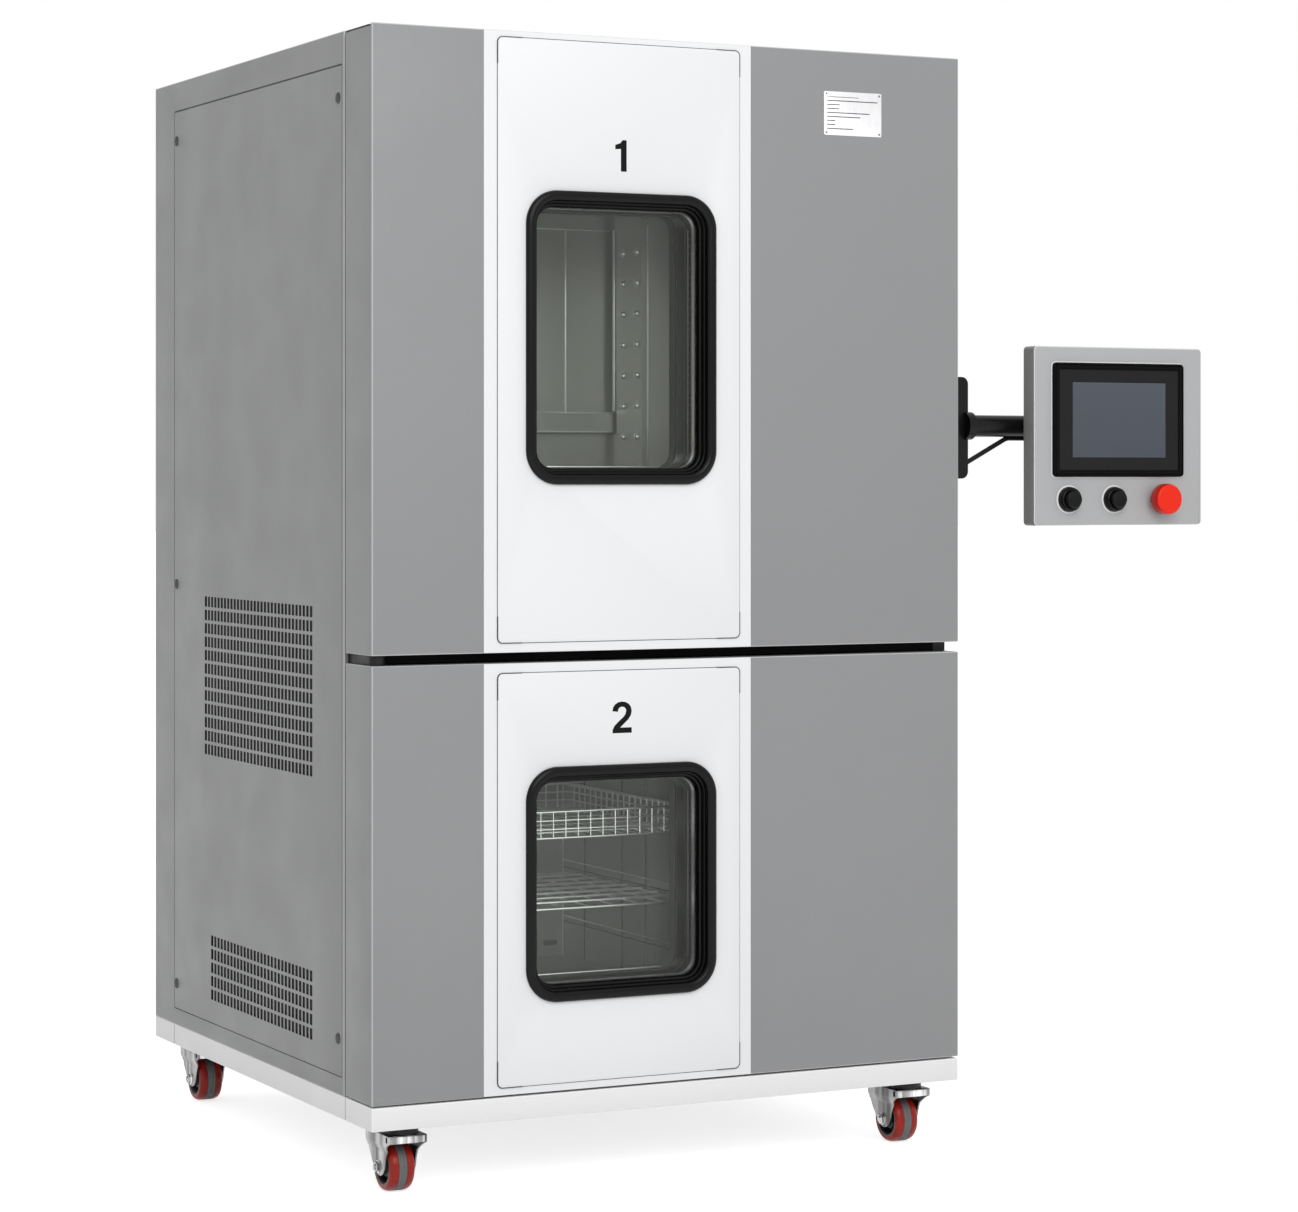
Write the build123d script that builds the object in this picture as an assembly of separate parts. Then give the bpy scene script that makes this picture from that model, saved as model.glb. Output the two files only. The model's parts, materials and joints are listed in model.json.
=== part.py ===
from build123d import *
from dataclasses import dataclass
import os

# A two-zone thermal shock chamber on casters, with an operator pod on a swinging arm.
# Sizes are in millimetres. Everything is placed in a working frame: X runs right from the
# cabinet's left side, Y runs back from the closed door faces, and Z runs up from the floor.
# Each piece is shifted at the end, so that the origin is the bottom centre of the whole.

# Cabinet
cabinet_width = 1012.0
cabinet_depth = 998.0
cabinet_height = 1640.0
skirt_height = 35.0
skirt_wall = 3.0
skirt_flange = 130.0
shell_wall = 4.0
panel_sheet = 2.0
panel_seam = 1.0
panel_ledge = 12.0
front_plate = 6.0
door_thickness = 106.0
door_to_cabinet = 6.0

# Side and rear service panels, measured from the edges of the cabinet
front_post = 8.0
arm_post = 120.0
rear_post = 101.0
top_rail = 50.0
bottom_rail = 28.0
rear_margin = 40.0

# Grilles in the left panel
slot_width = 8.5
slot_height = 17.0
slot_pitch_y = 31.4
slot_pitch_z = 22.3
grille_front = 244.0
upper_grille_bottom = 612.0
upper_grille_rows = 12
upper_grille_columns = 16
lower_grille_bottom = 207.0
lower_grille_rows = 5
lower_grille_columns = 15
vent_rows = 8
vent_width = 240.0
vent_height = 8.0
vent_pitch = 22.0
vent_left = 660.0
vent_bottom = 240.0

# Doors
skirt_gap = 3.0
lower_door_height = 650.0
rail_gap = 15.6
door_skin = 2.0
band_left = 180.0
band_right = 635.0
band_sheet = 2.0
band_seam = 0.5
overlay_left = 203.0
overlay_right = 614.0
overlay_sheet = 1.5
overlay_corner = 8.0
upper_overlay_bottom_gap = 15.0
upper_overlay_top_gap = 10.0
lower_overlay_bottom_gap = 12.0
lower_overlay_top_gap = 15.4
grip_height = 160.0
grip_width = 50.0
grip_depth = 18.0

# Windows
window_left = 249.0
window_width = 323.0
window_corner = 52.0
upper_window_bottom = 1061.5
upper_window_height = 446.0
lower_window_bottom = 278.0
lower_window_height = 356.5
bead_width = 17.0
bead_reach = 8.0
bead_round = 6.0
lip_outset = 5.0
lip_width = 13.0
lip_front = 4.0
pane_front = 15.0
pane_thickness = 5.0
inner_pane_front = 80.0
middle_pane_front = 46.0
spacer_width = 1.6
glass_clearance = 0.3

smallest_corner = 1.0

# Pivot hinges of the doors, down the left side
hinge_x = 20.0
hinge_y = 30.0
pin_radius = 6.0
pin_clearance = 0.05
pin_length = 24.0
washer_radius = 14.0
axial_clearance = 0.2
hinge_block = 36.0
hinge_block_height = 30.0
bracket_width = 32.0
bracket_sheet = 4.0
bracket_clearance = 0.3
bracket_reach = 150.0
recess_front = 5.0
rail_height = 11.0
rail_front = 30.0
rail_end = 33.0
stop_width = 22.0
stop_inset = 7.0

# Hot and cold cavities
cavity_left = 209.0
cavity_width = 400.0
hot_bottom = 1035.0
hot_height = 500.0
cold_bottom = 255.0
cold_height = 420.0
hot_baffle_front = 433.0
cold_baffle_front = 633.0
plenum_depth = 118.0
liner_sheet = 2.0
liner_flange = 20.0
foam_thickness = 90.0
ledge_bottom = 1147.0
ledge_height = 33.0
ledge_depth = 15.0
side_duct_front = 315.0
side_duct_depth = 108.0
side_duct_thickness = 8.0
air_slots = 8
air_slot_width = 26.0
air_slot_height = 8.0
gasket_inset = 12.0
gasket_width = 14.0
gasket_clearance = 0.3

# Shelves in the cold cavity
basket_level = 507.0
shelf_level = 396.0
rack_side_gap = 4.0
rack_front = 150.0
rack_depth = 450.0
frame_wire = 4.0
grid_wire = 3.0
grid_pitch = 42.0
basket_height = 45.0
basket_loops = 3
rail_flange = 12.0
rail_sheet = 1.5

# Air handling and refrigeration
shaft_radius = 6.0
shaft_hole = 8.0
hot_wheel_z = 1400.0
cold_wheel_z = 560.0
blower_radius = 80.0
blower_width = 50.0
blower_gap = 30.0
blade_count = 12
motor_radius = 55.0
motor_length = 95.0
motor_flange = 130.0
motor_bore = 60.0
heater_rods = 4
heater_rod_radius = 7.0
heater_pitch = 36.0
heater_bottom = 1080.0
heater_inset = 45.0
coil_fins = 12
compressor_offset = 5.5
compressor_y = 800.0
compressor_radius = 88.0
compressor_height = 290.0
condenser_left = 30.0
condenser_thickness = 45.0
condenser_front = 262.0
condenser_length = 430.0
condenser_height = 430.0
gear_plate_bottom = 900.0
gear_plate_height = 600.0
gear_plate_width = 380.0
gear_margin = 20.0
gear_rails = (980.0, 1140.0, 1300.0, 1440.0)
gear_rail_height = 35.0
gear_rail_depth = 7.0
contactor = (60.0, 75.0, 75.0)
relay = (36.0, 80.0, 68.0)
controller = (140.0, 95.0, 110.0)
power_supply = (130.0, 95.0, 90.0)
terminal_block = (300.0, 50.0, 50.0)
gear_pitch = 80.0
gear_per_row = 4
gland_from_right = 110.0
gland_z = 232.0
gland_radius = 16.0
gland_reach = 24.0
gland_thread = 10.0

# Operator arm and pod
arm_axis_out = 24.0
arm_axis_y = 140.0
arm_leaf_bottom = 1070.5
arm_leaf_height = 168.0
arm_leaf_reach = 79.0
arm_leaf_thickness = 8.0
arm_leaf_corner = 12.0
knuckle_radius = 12.0
knuckle_gap = 0.3
fixed_leaf_thickness = 6.0
fixed_leaf_width = 80.0
arm_pin_radius = 5.0
arm_z = 1157.6
arm_radius = 18.0
collar_radius = 23.0
collar_width = 14.0
brace_radius = 4.0
brace_start_z = 1091.0
brace_run = 77.0
brace_bend_radius = 25.0
pod_out = 190.0
pod_width = 334.0
pod_height = 297.0
pod_bottom = 992.5
pod_front = 70.0
pod_depth = 34.0
pod_wall = 2.0
pod_corner = 7.0
mount_plate = 120.0
mount_plate_sheet = 4.0
bezel_left = 35.0
bezel_width = 260.0
bezel_bottom = 80.7
bezel_height = 189.5
bezel_corner = 7.0
bezel_reach = 6.0
bezel_body_depth = 26.0
step_inset = 11.5
step_depth = 1.2
screen_inset_x = 38.2
screen_inset_z = 33.4
screen_depth = 2.5
button_z = 43.5
first_button_x = 67.2
button_pitch = 89.5
collar_ring_radius = 21.0
collar_ring_reach = 12.0
stop_collar_radius = 14.5
stop_collar_reach = 8.0
barrel_radius = 11.0
barrel_depth = 22.0
cap_radius = 14.6
cap_clearance = 0.3
cap_reach = 20.0
cap_back = 4.0
stem_radius = 6.0
stop_cap_radius = 25.8
stop_cap_reach = 36.0
stop_cap_back = 14.0
stop_neck_radius = 9.0

# Casters
caster_side = 68.0
caster_front = 52.0
caster_rear = 90.0
caster_plate_x = 92.0
caster_plate_y = 66.0
caster_plate_sheet = 3.5
raceway_radius = 26.0
raceway_height = 10.0
raceway_gap = 0.3
fork_crown_front = 27.0
fork_crown_half = 31.0
fork_rear = 66.0
fork_waist = 2.0
fork_eye = 12.0
fork_lip = 6.0
fork_joggle_top = 9.0
fork_joggle_bottom = 23.0
fork_crown_height = 6.0
wheel_to_crown = 10.2
fork_leg = 3.0
fork_inside = 46.0
fork_trail = 27.0
wheel_radius = 37.5
wheel_width = 40.0
tyre_depth = 10.0
tyre_crown = 4.0
hub_boss_radius = 11.0
hub_boss_width = 44.0
hub_web = 8.0
axle_radius = 5.0
axle_clearance = 0.05
bolt_head_radius = 8.5
bolt_head_height = 5.0
kingpin_radius = 6.0

# Heights and places that follow from the sizes above
swivel_height = fork_crown_height + raceway_gap + raceway_height + caster_plate_sheet
caster_height = 2 * wheel_radius + wheel_to_crown + swivel_height
base_top = caster_height + skirt_height
cabinet_top = caster_height + cabinet_height
cabinet_front = door_thickness + door_to_cabinet
liner_front = cabinet_front + front_plate
lower_door_bottom = base_top + skirt_gap
lower_door_top = lower_door_bottom + lower_door_height
upper_door_bottom = lower_door_top + rail_gap
rail_middle = (lower_door_top + upper_door_bottom) / 2
arm_axis_x = cabinet_width + arm_axis_out
pod_left = cabinet_width + pod_out
front_reach = overlay_sheet + bead_reach
overall_width = pod_left + pod_width
overall_back = cabinet_depth + gland_reach
cavity_right = cavity_left + cavity_width
wheel_centre_x = cavity_left + cavity_width / 2
foam_left = cavity_left - liner_sheet - foam_thickness
foam_right = cavity_right + liner_sheet + foam_thickness
compressor_x = (foam_right + cabinet_width - shell_wall) / 2 + compressor_offset


@dataclass
class Area:
    """An upright rectangle seen from the front, with rounded corners where radius is not zero."""

    left: float
    right: float
    bottom: float
    top: float
    radius: float = 0.0

    def grown(self, by):
        """The same rectangle with every side moved outwards."""
        radius = max(self.radius + by, smallest_corner) if self.radius else 0.0
        return Area(self.left - by, self.right + by, self.bottom - by, self.top + by, radius)

    def panel(self, front, back):
        """A flat panel of this outline, from front to back."""
        middle = ((self.left + self.right) / 2, front, (self.bottom + self.top) / 2)
        plane = Plane(origin=middle, x_dir=(1, 0, 0), z_dir=(0, -1, 0))
        width = self.right - self.left
        height = self.top - self.bottom
        if self.radius:
            outline = plane * RectangleRounded(width, height, self.radius)
        else:
            outline = plane * Rectangle(width, height)
        return extrude(outline, amount=back - front, dir=(0, 1, 0))

    def ring(self, width, front, back):
        """A frame of this outer outline, with its border this wide."""
        return self.panel(front, back) - self.grown(-width).panel(front - 1, back + 1)


@dataclass
class Door:
    """One of the two doors, with what differs between them."""

    bottom: float
    top: float
    window: Area
    overlay: Area
    cavity: Area
    top_recess: bool


def window_area(bottom, height):
    """The outer outline of a window's rubber trim."""
    return Area(window_left, window_left + window_width, bottom, bottom + height, window_corner)


def overlay_area(bottom, top):
    """The raised panel that surrounds a window."""
    return Area(overlay_left, overlay_right, bottom, top, overlay_corner)


hot_cavity = Area(cavity_left, cavity_right, hot_bottom, hot_bottom + hot_height)
cold_cavity = Area(cavity_left, cavity_right, cold_bottom, cold_bottom + cold_height)
doors = {
    "upper": Door(
        bottom=upper_door_bottom,
        top=cabinet_top,
        window=window_area(upper_window_bottom, upper_window_height),
        overlay=overlay_area(
            upper_door_bottom + upper_overlay_bottom_gap, cabinet_top - upper_overlay_top_gap
        ),
        cavity=hot_cavity,
        top_recess=True,
    ),
    "lower": Door(
        bottom=lower_door_bottom,
        top=lower_door_top,
        window=window_area(lower_window_bottom, lower_window_height),
        overlay=overlay_area(
            lower_door_bottom + lower_overlay_bottom_gap, lower_door_top - lower_overlay_top_gap
        ),
        cavity=cold_cavity,
        top_recess=False,
    ),
}


def block(x0, x1, y0, y1, z0, z1):
    """A rectangular block between two opposite corners."""
    middle = Pos((x0 + x1) / 2, (y0 + y1) / 2, (z0 + z1) / 2)
    return middle * Box(x1 - x0, y1 - y0, z1 - z0)


def bar_x(y, z, radius, x0, x1):
    """A round bar along X."""
    return Pos((x0 + x1) / 2, y, z) * Rot(0, 90, 0) * Cylinder(radius, x1 - x0)


def bar_y(x, z, radius, y0, y1):
    """A round bar along Y."""
    return Pos(x, (y0 + y1) / 2, z) * Rot(90, 0, 0) * Cylinder(radius, y1 - y0)


def bar_z(x, y, radius, z0, z1):
    """A round bar along Z."""
    return Pos(x, y, (z0 + z1) / 2) * Cylinder(radius, z1 - z0)


def hexagon(y, z, radius, x0, x1):
    """A hexagonal bolt head or nut on an axis along X."""
    plane = Plane(origin=(x0, y, z), x_dir=(0, 1, 0), z_dir=(1, 0, 0))
    return extrude(plane * RegularPolygon(radius, 6), amount=x1 - x0)


def together(*pieces):
    """Separate solids kept as one group."""
    return Compound([solid for piece in pieces for solid in piece.solids()])


def save(name, shape):
    """Shift a piece to the final origin and write it."""
    shift = Pos(-overall_width / 2, -(overall_back - front_reach) / 2, 0)
    export_step(shift * shape, f"parts/{name}.step")


# Base and cabinet


def base_frame():
    """A white folded tray with a deep bottom flange that carries the casters."""
    tray = block(0, cabinet_width, 0, cabinet_depth, caster_height, base_top)
    tray -= block(
        skirt_wall,
        cabinet_width - skirt_wall,
        skirt_wall,
        cabinet_depth - skirt_wall,
        caster_height + skirt_wall,
        base_top - skirt_wall,
    )
    tray -= block(
        skirt_flange,
        cabinet_width - skirt_flange,
        skirt_flange,
        cabinet_depth - skirt_flange,
        caster_height - 1,
        caster_height + skirt_wall + 1,
    )
    return tray


def service_opening(area_low, area_high, margin):
    """A block through a cabinet wall, inset by the margin from the panel's two corners."""
    (x0, y0, z0), (x1, y1, z1) = area_low, area_high
    return block(x0, x1, y0 + margin, y1 - margin, z0 + margin, z1 - margin)


panel_bottom = base_top + bottom_rail
panel_top = cabinet_top - top_rail
panel_back = cabinet_depth - rear_post
left_panel_front = cabinet_front + front_post
right_panel_front = cabinet_front + arm_post


def cabinet_shell():
    """The welded outer frame and top, with rebated openings for the service panels."""
    shell = block(0, cabinet_width, cabinet_front, cabinet_depth, base_top, cabinet_top)
    shell -= block(
        shell_wall,
        cabinet_width - shell_wall,
        cabinet_front - 1,
        cabinet_depth - shell_wall,
        base_top - 1,
        cabinet_top - shell_wall,
    )
    left_low = (-1, left_panel_front, panel_bottom)
    shell -= service_opening(left_low, (panel_sheet, panel_back, panel_top), 0)
    shell -= service_opening(left_low, (shell_wall + 1, panel_back, panel_top), panel_ledge)
    right_high = (cabinet_width + 1, panel_back, panel_top)
    right_low = (cabinet_width - panel_sheet, right_panel_front, panel_bottom)
    shell -= service_opening(right_low, right_high, 0)
    right_low = (cabinet_width - shell_wall - 1, right_panel_front, panel_bottom)
    shell -= service_opening(right_low, right_high, panel_ledge)
    rear = rear_area()
    shell -= rear.panel(cabinet_depth - panel_sheet, cabinet_depth + 1)
    shell -= rear.grown(-panel_ledge).panel(cabinet_depth - shell_wall - 1, cabinet_depth + 1)
    shell -= bracket_recess()
    return shell


def rear_area():
    """The rear service opening."""
    return Area(rear_margin, cabinet_width - rear_margin, panel_bottom, panel_top)


def grille_wires(x, bottom, rows, columns):
    """The outlines of a field of upright slots in the left panel."""
    outlines = []
    for row in range(rows):
        for column in range(columns):
            y = grille_front + slot_width / 2 + column * slot_pitch_y
            z = bottom + slot_height / 2 + row * slot_pitch_z
            plane = Plane(origin=(x, y, z), x_dir=(0, 1, 0), z_dir=(1, 0, 0))
            outlines.append(Wire.make_rect(slot_width, slot_height, plane))
    return outlines


def side_panel_left():
    """The left service panel with its upper and lower grilles."""
    depth = panel_back - left_panel_front - 2 * panel_seam
    height = panel_top - panel_bottom - 2 * panel_seam
    middle = (0, (panel_back + left_panel_front) / 2, (panel_top + panel_bottom) / 2)
    plane = Plane(origin=middle, x_dir=(0, 1, 0), z_dir=(1, 0, 0))
    slots = grille_wires(0, upper_grille_bottom, upper_grille_rows, upper_grille_columns)
    slots += grille_wires(0, lower_grille_bottom, lower_grille_rows, lower_grille_columns)
    sheet = Face(Wire.make_rect(depth, height, plane), slots)
    return extrude(sheet, amount=panel_sheet, dir=(1, 0, 0))


def side_panel_right():
    """The plain right service panel, behind the post that carries the arm."""
    return block(
        cabinet_width - panel_sheet,
        cabinet_width,
        right_panel_front + panel_seam,
        panel_back - panel_seam,
        panel_bottom + panel_seam,
        panel_top - panel_seam,
    )


def rear_panel():
    """The rear service panel, with vents low down and a hole for the supply gland."""
    panel = rear_area().grown(-panel_seam).panel(cabinet_depth - panel_sheet, cabinet_depth)
    for row in range(vent_rows):
        bottom = vent_bottom + row * vent_pitch
        vent = Area(vent_left, vent_left + vent_width, bottom, bottom + vent_height)
        if vent.right < cabinet_width - gland_from_right - gland_radius or bottom > gland_z + gland_radius:
            panel -= vent.panel(cabinet_depth - panel_sheet - 1, cabinet_depth + 1)
    hole = bar_y(
        cabinet_width - gland_from_right,
        gland_z,
        gland_thread + glass_clearance,
        cabinet_depth - panel_sheet - 1,
        cabinet_depth + 1,
    )
    return panel - hole


def front_frame():
    """The face plate behind the doors, with the mouths of the two cavities."""
    outline = Area(shell_wall, cabinet_width - shell_wall, base_top, cabinet_top - shell_wall)
    plate = outline.panel(cabinet_front, liner_front)
    for cavity in (hot_cavity, cold_cavity):
        plate -= cavity.panel(cabinet_front - 1, liner_front + 1)
    return plate - bracket_recess()


def centre_rail():
    """The black bar that fills the gap between the doors, between its two end blocks."""
    return block(
        rail_end,
        cabinet_width - stop_inset - stop_width,
        rail_front,
        cabinet_front,
        rail_middle - rail_height / 2,
        rail_middle + rail_height / 2,
    )


def bracket_recess():
    """The shallow pocket in the cabinet's top edge that takes the top hinge bracket."""
    return block(
        hinge_x - bracket_width / 2 - bracket_clearance,
        hinge_x + bracket_width / 2 + bracket_clearance,
        cabinet_front - 1,
        bracket_reach + bracket_clearance,
        cabinet_top - bracket_sheet,
        cabinet_top + 1,
    )


def hinge_pin(z0, z1):
    """One pivot pin of the doors."""
    return bar_z(hinge_x, hinge_y, pin_radius, z0, z1)


def pivot_hinges():
    """The fixed hinge pieces: bottom pin, centre block, strike block and top bracket."""
    half = bracket_width / 2
    bottom = bar_z(
        hinge_x, hinge_y, washer_radius, base_top, lower_door_bottom - axial_clearance
    )
    bottom += hinge_pin(base_top, lower_door_bottom + pin_length)
    low = lower_door_top + axial_clearance
    high = upper_door_bottom - axial_clearance
    centre = block(stop_inset, rail_end, hinge_y, cabinet_front, low, high)
    centre += bar_z(hinge_x, hinge_y, rail_end - hinge_x, low, high)
    centre += hinge_pin(lower_door_top - pin_length, upper_door_bottom + pin_length)
    right = cabinet_width - stop_inset
    strike = block(right - stop_width, right, rail_front, cabinet_front, low, high)
    plate_bottom = cabinet_top - bracket_sheet
    bracket = block(
        hinge_x - half, hinge_x + half, hinge_y, bracket_reach, plate_bottom, cabinet_top
    )
    bracket += bar_z(hinge_x, hinge_y, half, plate_bottom, cabinet_top)
    bracket += hinge_pin(plate_bottom - pin_length, plate_bottom)
    bracket += block(
        hinge_x - half + shell_wall,
        hinge_x + half,
        liner_front,
        bracket_reach,
        plate_bottom - 2 * bracket_sheet,
        plate_bottom,
    )
    return together(bottom, centre, strike, bracket)


# Doors


def pin_bore(z0, z1):
    """The hole in a door for one pivot pin."""
    return bar_z(hinge_x, hinge_y, pin_radius + pin_clearance, z0, z1)


def top_recess(door):
    """The pocket in the upper door that clears the top bracket as the door swings."""
    return block(
        -1,
        hinge_x + bracket_width / 2 + 1,
        recess_front,
        door_thickness + 1,
        door.top - bracket_sheet - bracket_clearance,
        door.top + 1,
    )


def glass_area(door):
    """The outline of the glass panes, which is also the cut-out in the skin."""
    return door.window.grown(-(bead_width - lip_outset) + glass_clearance)


def grip_box(door, wall):
    """The finger grip in the right edge of a door, grown by a wall for its cup."""
    middle_y = door_thickness / 2
    middle_z = (door.bottom + door.top) / 2
    return block(
        cabinet_width - grip_depth - wall,
        cabinet_width + (0 if wall else 1),
        middle_y - grip_width / 2 - wall,
        middle_y + grip_width / 2 + wall,
        middle_z - grip_height / 2 - wall,
        middle_z + grip_height / 2 + wall,
    )


def door_shell(door):
    """The outer steel pan, jogged back where the white band lies, with hinge and grip cups."""
    low = door.bottom + door_skin
    high = door.top - door_skin
    right = cabinet_width - door_skin
    back = door_thickness + 1
    shell = block(0, cabinet_width, 0, door_thickness, door.bottom, door.top)
    shell -= block(band_left, band_right, -1, band_sheet, door.bottom - 1, door.top + 1)
    shell -= block(door_skin, band_left - door_skin, door_skin, back, low, high)
    shell -= block(
        band_left - 2 * door_skin,
        band_right + 2 * door_skin,
        band_sheet + door_skin,
        back,
        low,
        high,
    )
    shell -= block(band_right + door_skin, right, door_skin, back, low, high)
    block_side = hinge_x + hinge_block / 2
    block_back = hinge_y + hinge_block / 2
    bottom_block = door.bottom + hinge_block_height
    top_block = door.top - hinge_block_height
    shell += block(0, block_side, door_skin, block_back, door.bottom, bottom_block)
    if door.top_recess:
        behind = door_thickness - liner_sheet
        shell += block(0, block_side + door_skin, 0, behind, top_block, door.top)
        shell -= top_recess(door)
    else:
        shell += block(0, block_side, door_skin, block_back, top_block, door.top)
    shell += grip_box(door, door_skin)
    shell -= grip_box(door, 0)
    shell -= glass_area(door).panel(-1, 3 * door_skin + band_sheet)
    shell -= pin_bore(door.bottom - 1, door.bottom + pin_length + 1)
    shell -= pin_bore(door.top - pin_length - 2 * bracket_sheet, door.top + 1)
    return shell


def front_panel(door):
    """The white band with the raised overlay on it, both cut out for the window."""
    opening = glass_area(door).panel(-overlay_sheet - 1, band_sheet + 1)
    band = Area(
        band_left + band_seam,
        band_right - band_seam,
        door.bottom + band_seam,
        door.top - band_seam,
    )
    return together(
        band.panel(0, band_sheet) - opening,
        door.overlay.panel(-overlay_sheet, 0) - opening,
    )


def window_trim(door):
    """The black rubber frame: a rounded bead on the overlay and a lip that runs in to the glass."""
    front = -overlay_sheet - bead_reach
    bead = door.window.ring(bead_width, front, -overlay_sheet)
    bead = fillet(bead.faces().sort_by(Axis.Y)[0].edges(), bead_round)
    lip_outline = door.window.grown(-(bead_width - lip_outset))
    lip = lip_outline.ring(lip_width, -lip_front, pane_front)
    return bead + lip


def pane(door, front):
    """One pane of the sealed window unit."""
    outline = glass_area(door).grown(-glass_clearance)
    return outline.panel(front, front + pane_thickness)


def window_glass(door):
    """The three panes of the window."""
    fronts = (pane_front, middle_pane_front, inner_pane_front)
    return together(*[pane(door, front) for front in fronts])


def window_spacer(door):
    """The two spacer frames that keep the panes apart."""
    outline = glass_area(door).grown(-glass_clearance)
    width = lip_width + spacer_width
    front = outline.ring(width, pane_front + pane_thickness, middle_pane_front)
    back = outline.ring(width, middle_pane_front + pane_thickness, inner_pane_front)
    return together(front, back)


def door_liner(door):
    """The inner steel pan, with the tunnel that holds the window unit."""
    pan = Area(
        door_skin, cabinet_width - door_skin, door.bottom + door_skin, door.top - door_skin
    )
    opening = glass_area(door)
    tunnel_front = band_sheet + door_skin
    liner = pan.panel(door_thickness - liner_sheet, door_thickness)
    liner += opening.grown(liner_sheet).panel(tunnel_front, door_thickness)
    liner -= opening.panel(tunnel_front - 1, inner_pane_front + pane_thickness)
    liner -= opening.grown(-lip_width).panel(tunnel_front, door_thickness + 1)
    if door.top_recess:
        liner -= top_recess(door)
    return liner


def door_gasket(door):
    """The seal on the back of a door, around the mouth of its cavity."""
    outline = door.cavity.grown(gasket_inset + gasket_width)
    return outline.ring(gasket_width, door_thickness, cabinet_front - gasket_clearance)


# Cavities and what they hold


def baffle_back(front):
    """The back of the plenum behind a baffle."""
    return front + panel_sheet + plenum_depth


hot_back = baffle_back(hot_baffle_front)
cold_back = baffle_back(cold_baffle_front)


def liner(cavity, back, wheel_z):
    """A welded steel cavity, open at the front, with a flange and a shaft hole in its back."""
    pan = cavity.grown(liner_sheet).panel(liner_front, back + liner_sheet)
    pan += cavity.grown(liner_flange).panel(liner_front, liner_front + liner_sheet)
    pan -= cavity.panel(liner_front - 1, back)
    return pan - bar_y(wheel_centre_x, wheel_z, shaft_hole, back - 1, back + liner_sheet + 1)


def insulation():
    """The foam around both cavities, standing on the base."""
    split = (cold_cavity.top + hot_cavity.bottom) / 2
    front = liner_front + liner_sheet
    top = hot_cavity.top + liner_sheet + foam_thickness
    cold_end = cold_back + liner_sheet + foam_thickness
    hot_end = hot_back + liner_sheet + foam_thickness
    foam = block(foam_left, foam_right, front, cold_end, base_top, split)
    foam += block(foam_left, foam_right, front, hot_end, split, top)
    foam -= cold_cavity.grown(liner_sheet).panel(front - 1, cold_back + liner_sheet)
    foam -= hot_cavity.grown(liner_sheet).panel(front - 1, hot_back + liner_sheet)
    foam -= bar_y(wheel_centre_x, hot_wheel_z, 2 * shaft_hole, hot_back, hot_end + 1)
    foam -= bar_y(wheel_centre_x, cold_wheel_z, 2 * shaft_hole, cold_back, cold_end + 1)
    return foam


def baffle(cavity, front):
    """A steel wall in front of a plenum, with air slots near its top and bottom."""
    plate = cavity.panel(front, front + panel_sheet)
    pitch = cavity_width / air_slots
    for row_bottom in (cavity.bottom + 2 * air_slot_height, cavity.top - 3 * air_slot_height):
        for index in range(air_slots):
            left = cavity_left + pitch * (index + 0.5) - air_slot_width / 2
            slot = Area(left, left + air_slot_width, row_bottom, row_bottom + air_slot_height)
            plate -= slot.panel(front - 1, front + panel_sheet + 1)
    return plate


def air_baffles():
    """The rear walls of both cavities, and the flat duct on the hot cavity's right wall."""
    hot = baffle(hot_cavity, hot_baffle_front)
    hot += block(
        cavity_left,
        cavity_right,
        hot_baffle_front - ledge_depth,
        hot_baffle_front,
        ledge_bottom,
        ledge_bottom + ledge_height,
    )
    duct = block(
        cavity_right - side_duct_thickness,
        cavity_right,
        side_duct_front,
        side_duct_front + side_duct_depth - ledge_depth,
        hot_cavity.bottom,
        hot_cavity.top,
    )
    return together(hot, duct, baffle(cold_cavity, cold_baffle_front))


def shelf_rails():
    """Four angle rails on the cold cavity's side walls."""
    rails = []
    y0 = rack_front - rail_flange
    y1 = rack_front + rack_depth
    for level in (shelf_level, basket_level):
        top = level - rail_sheet
        for wall, inward in ((cavity_left, 1), (cavity_right, -1)):
            flange = sorted((wall, wall + inward * rail_flange))
            web = sorted((wall, wall + inward * rail_sheet))
            rail = block(*flange, y0, y1, top, level)
            rail += block(*web, y0, y1, level - rail_flange, level)
            rails.append(rail)
    return together(*rails)


rack_left = cavity_left + rack_side_gap
rack_right = cavity_right - rack_side_gap
rack_back = rack_front + rack_depth


def wire_frame(bottom):
    """The square loop of heavier wire round a rack."""
    loop = block(rack_left, rack_right, rack_front, rack_back, bottom, bottom + frame_wire)
    return loop - block(
        rack_left + frame_wire,
        rack_right - frame_wire,
        rack_front + frame_wire,
        rack_back - frame_wire,
        bottom - 1,
        bottom + frame_wire + 1,
    )


def steps(low, high, pitch):
    """Evenly spaced places between two ends, as near to the pitch as fits."""
    count = max(1, round((high - low) / pitch))
    return [low + (high - low) * index / count for index in range(count + 1)]


def wire_grid(bottom):
    """A rack floor: wires from front to back, let into two wires across."""
    wires = wire_frame(bottom)
    top = bottom + frame_wire
    for x in steps(rack_left + frame_wire, rack_right - frame_wire - grid_wire, grid_pitch)[1:-1]:
        wires += block(x, x + grid_wire, rack_front, rack_back, top - grid_wire, top)
    third = rack_depth / 3
    for y in (rack_front + third, rack_front + 2 * third):
        wires += block(rack_left, rack_right, y, y + grid_wire, bottom, bottom + grid_wire)
    return wires


def wire_shelf():
    """The flat wire shelf."""
    return wire_grid(shelf_level)


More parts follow.
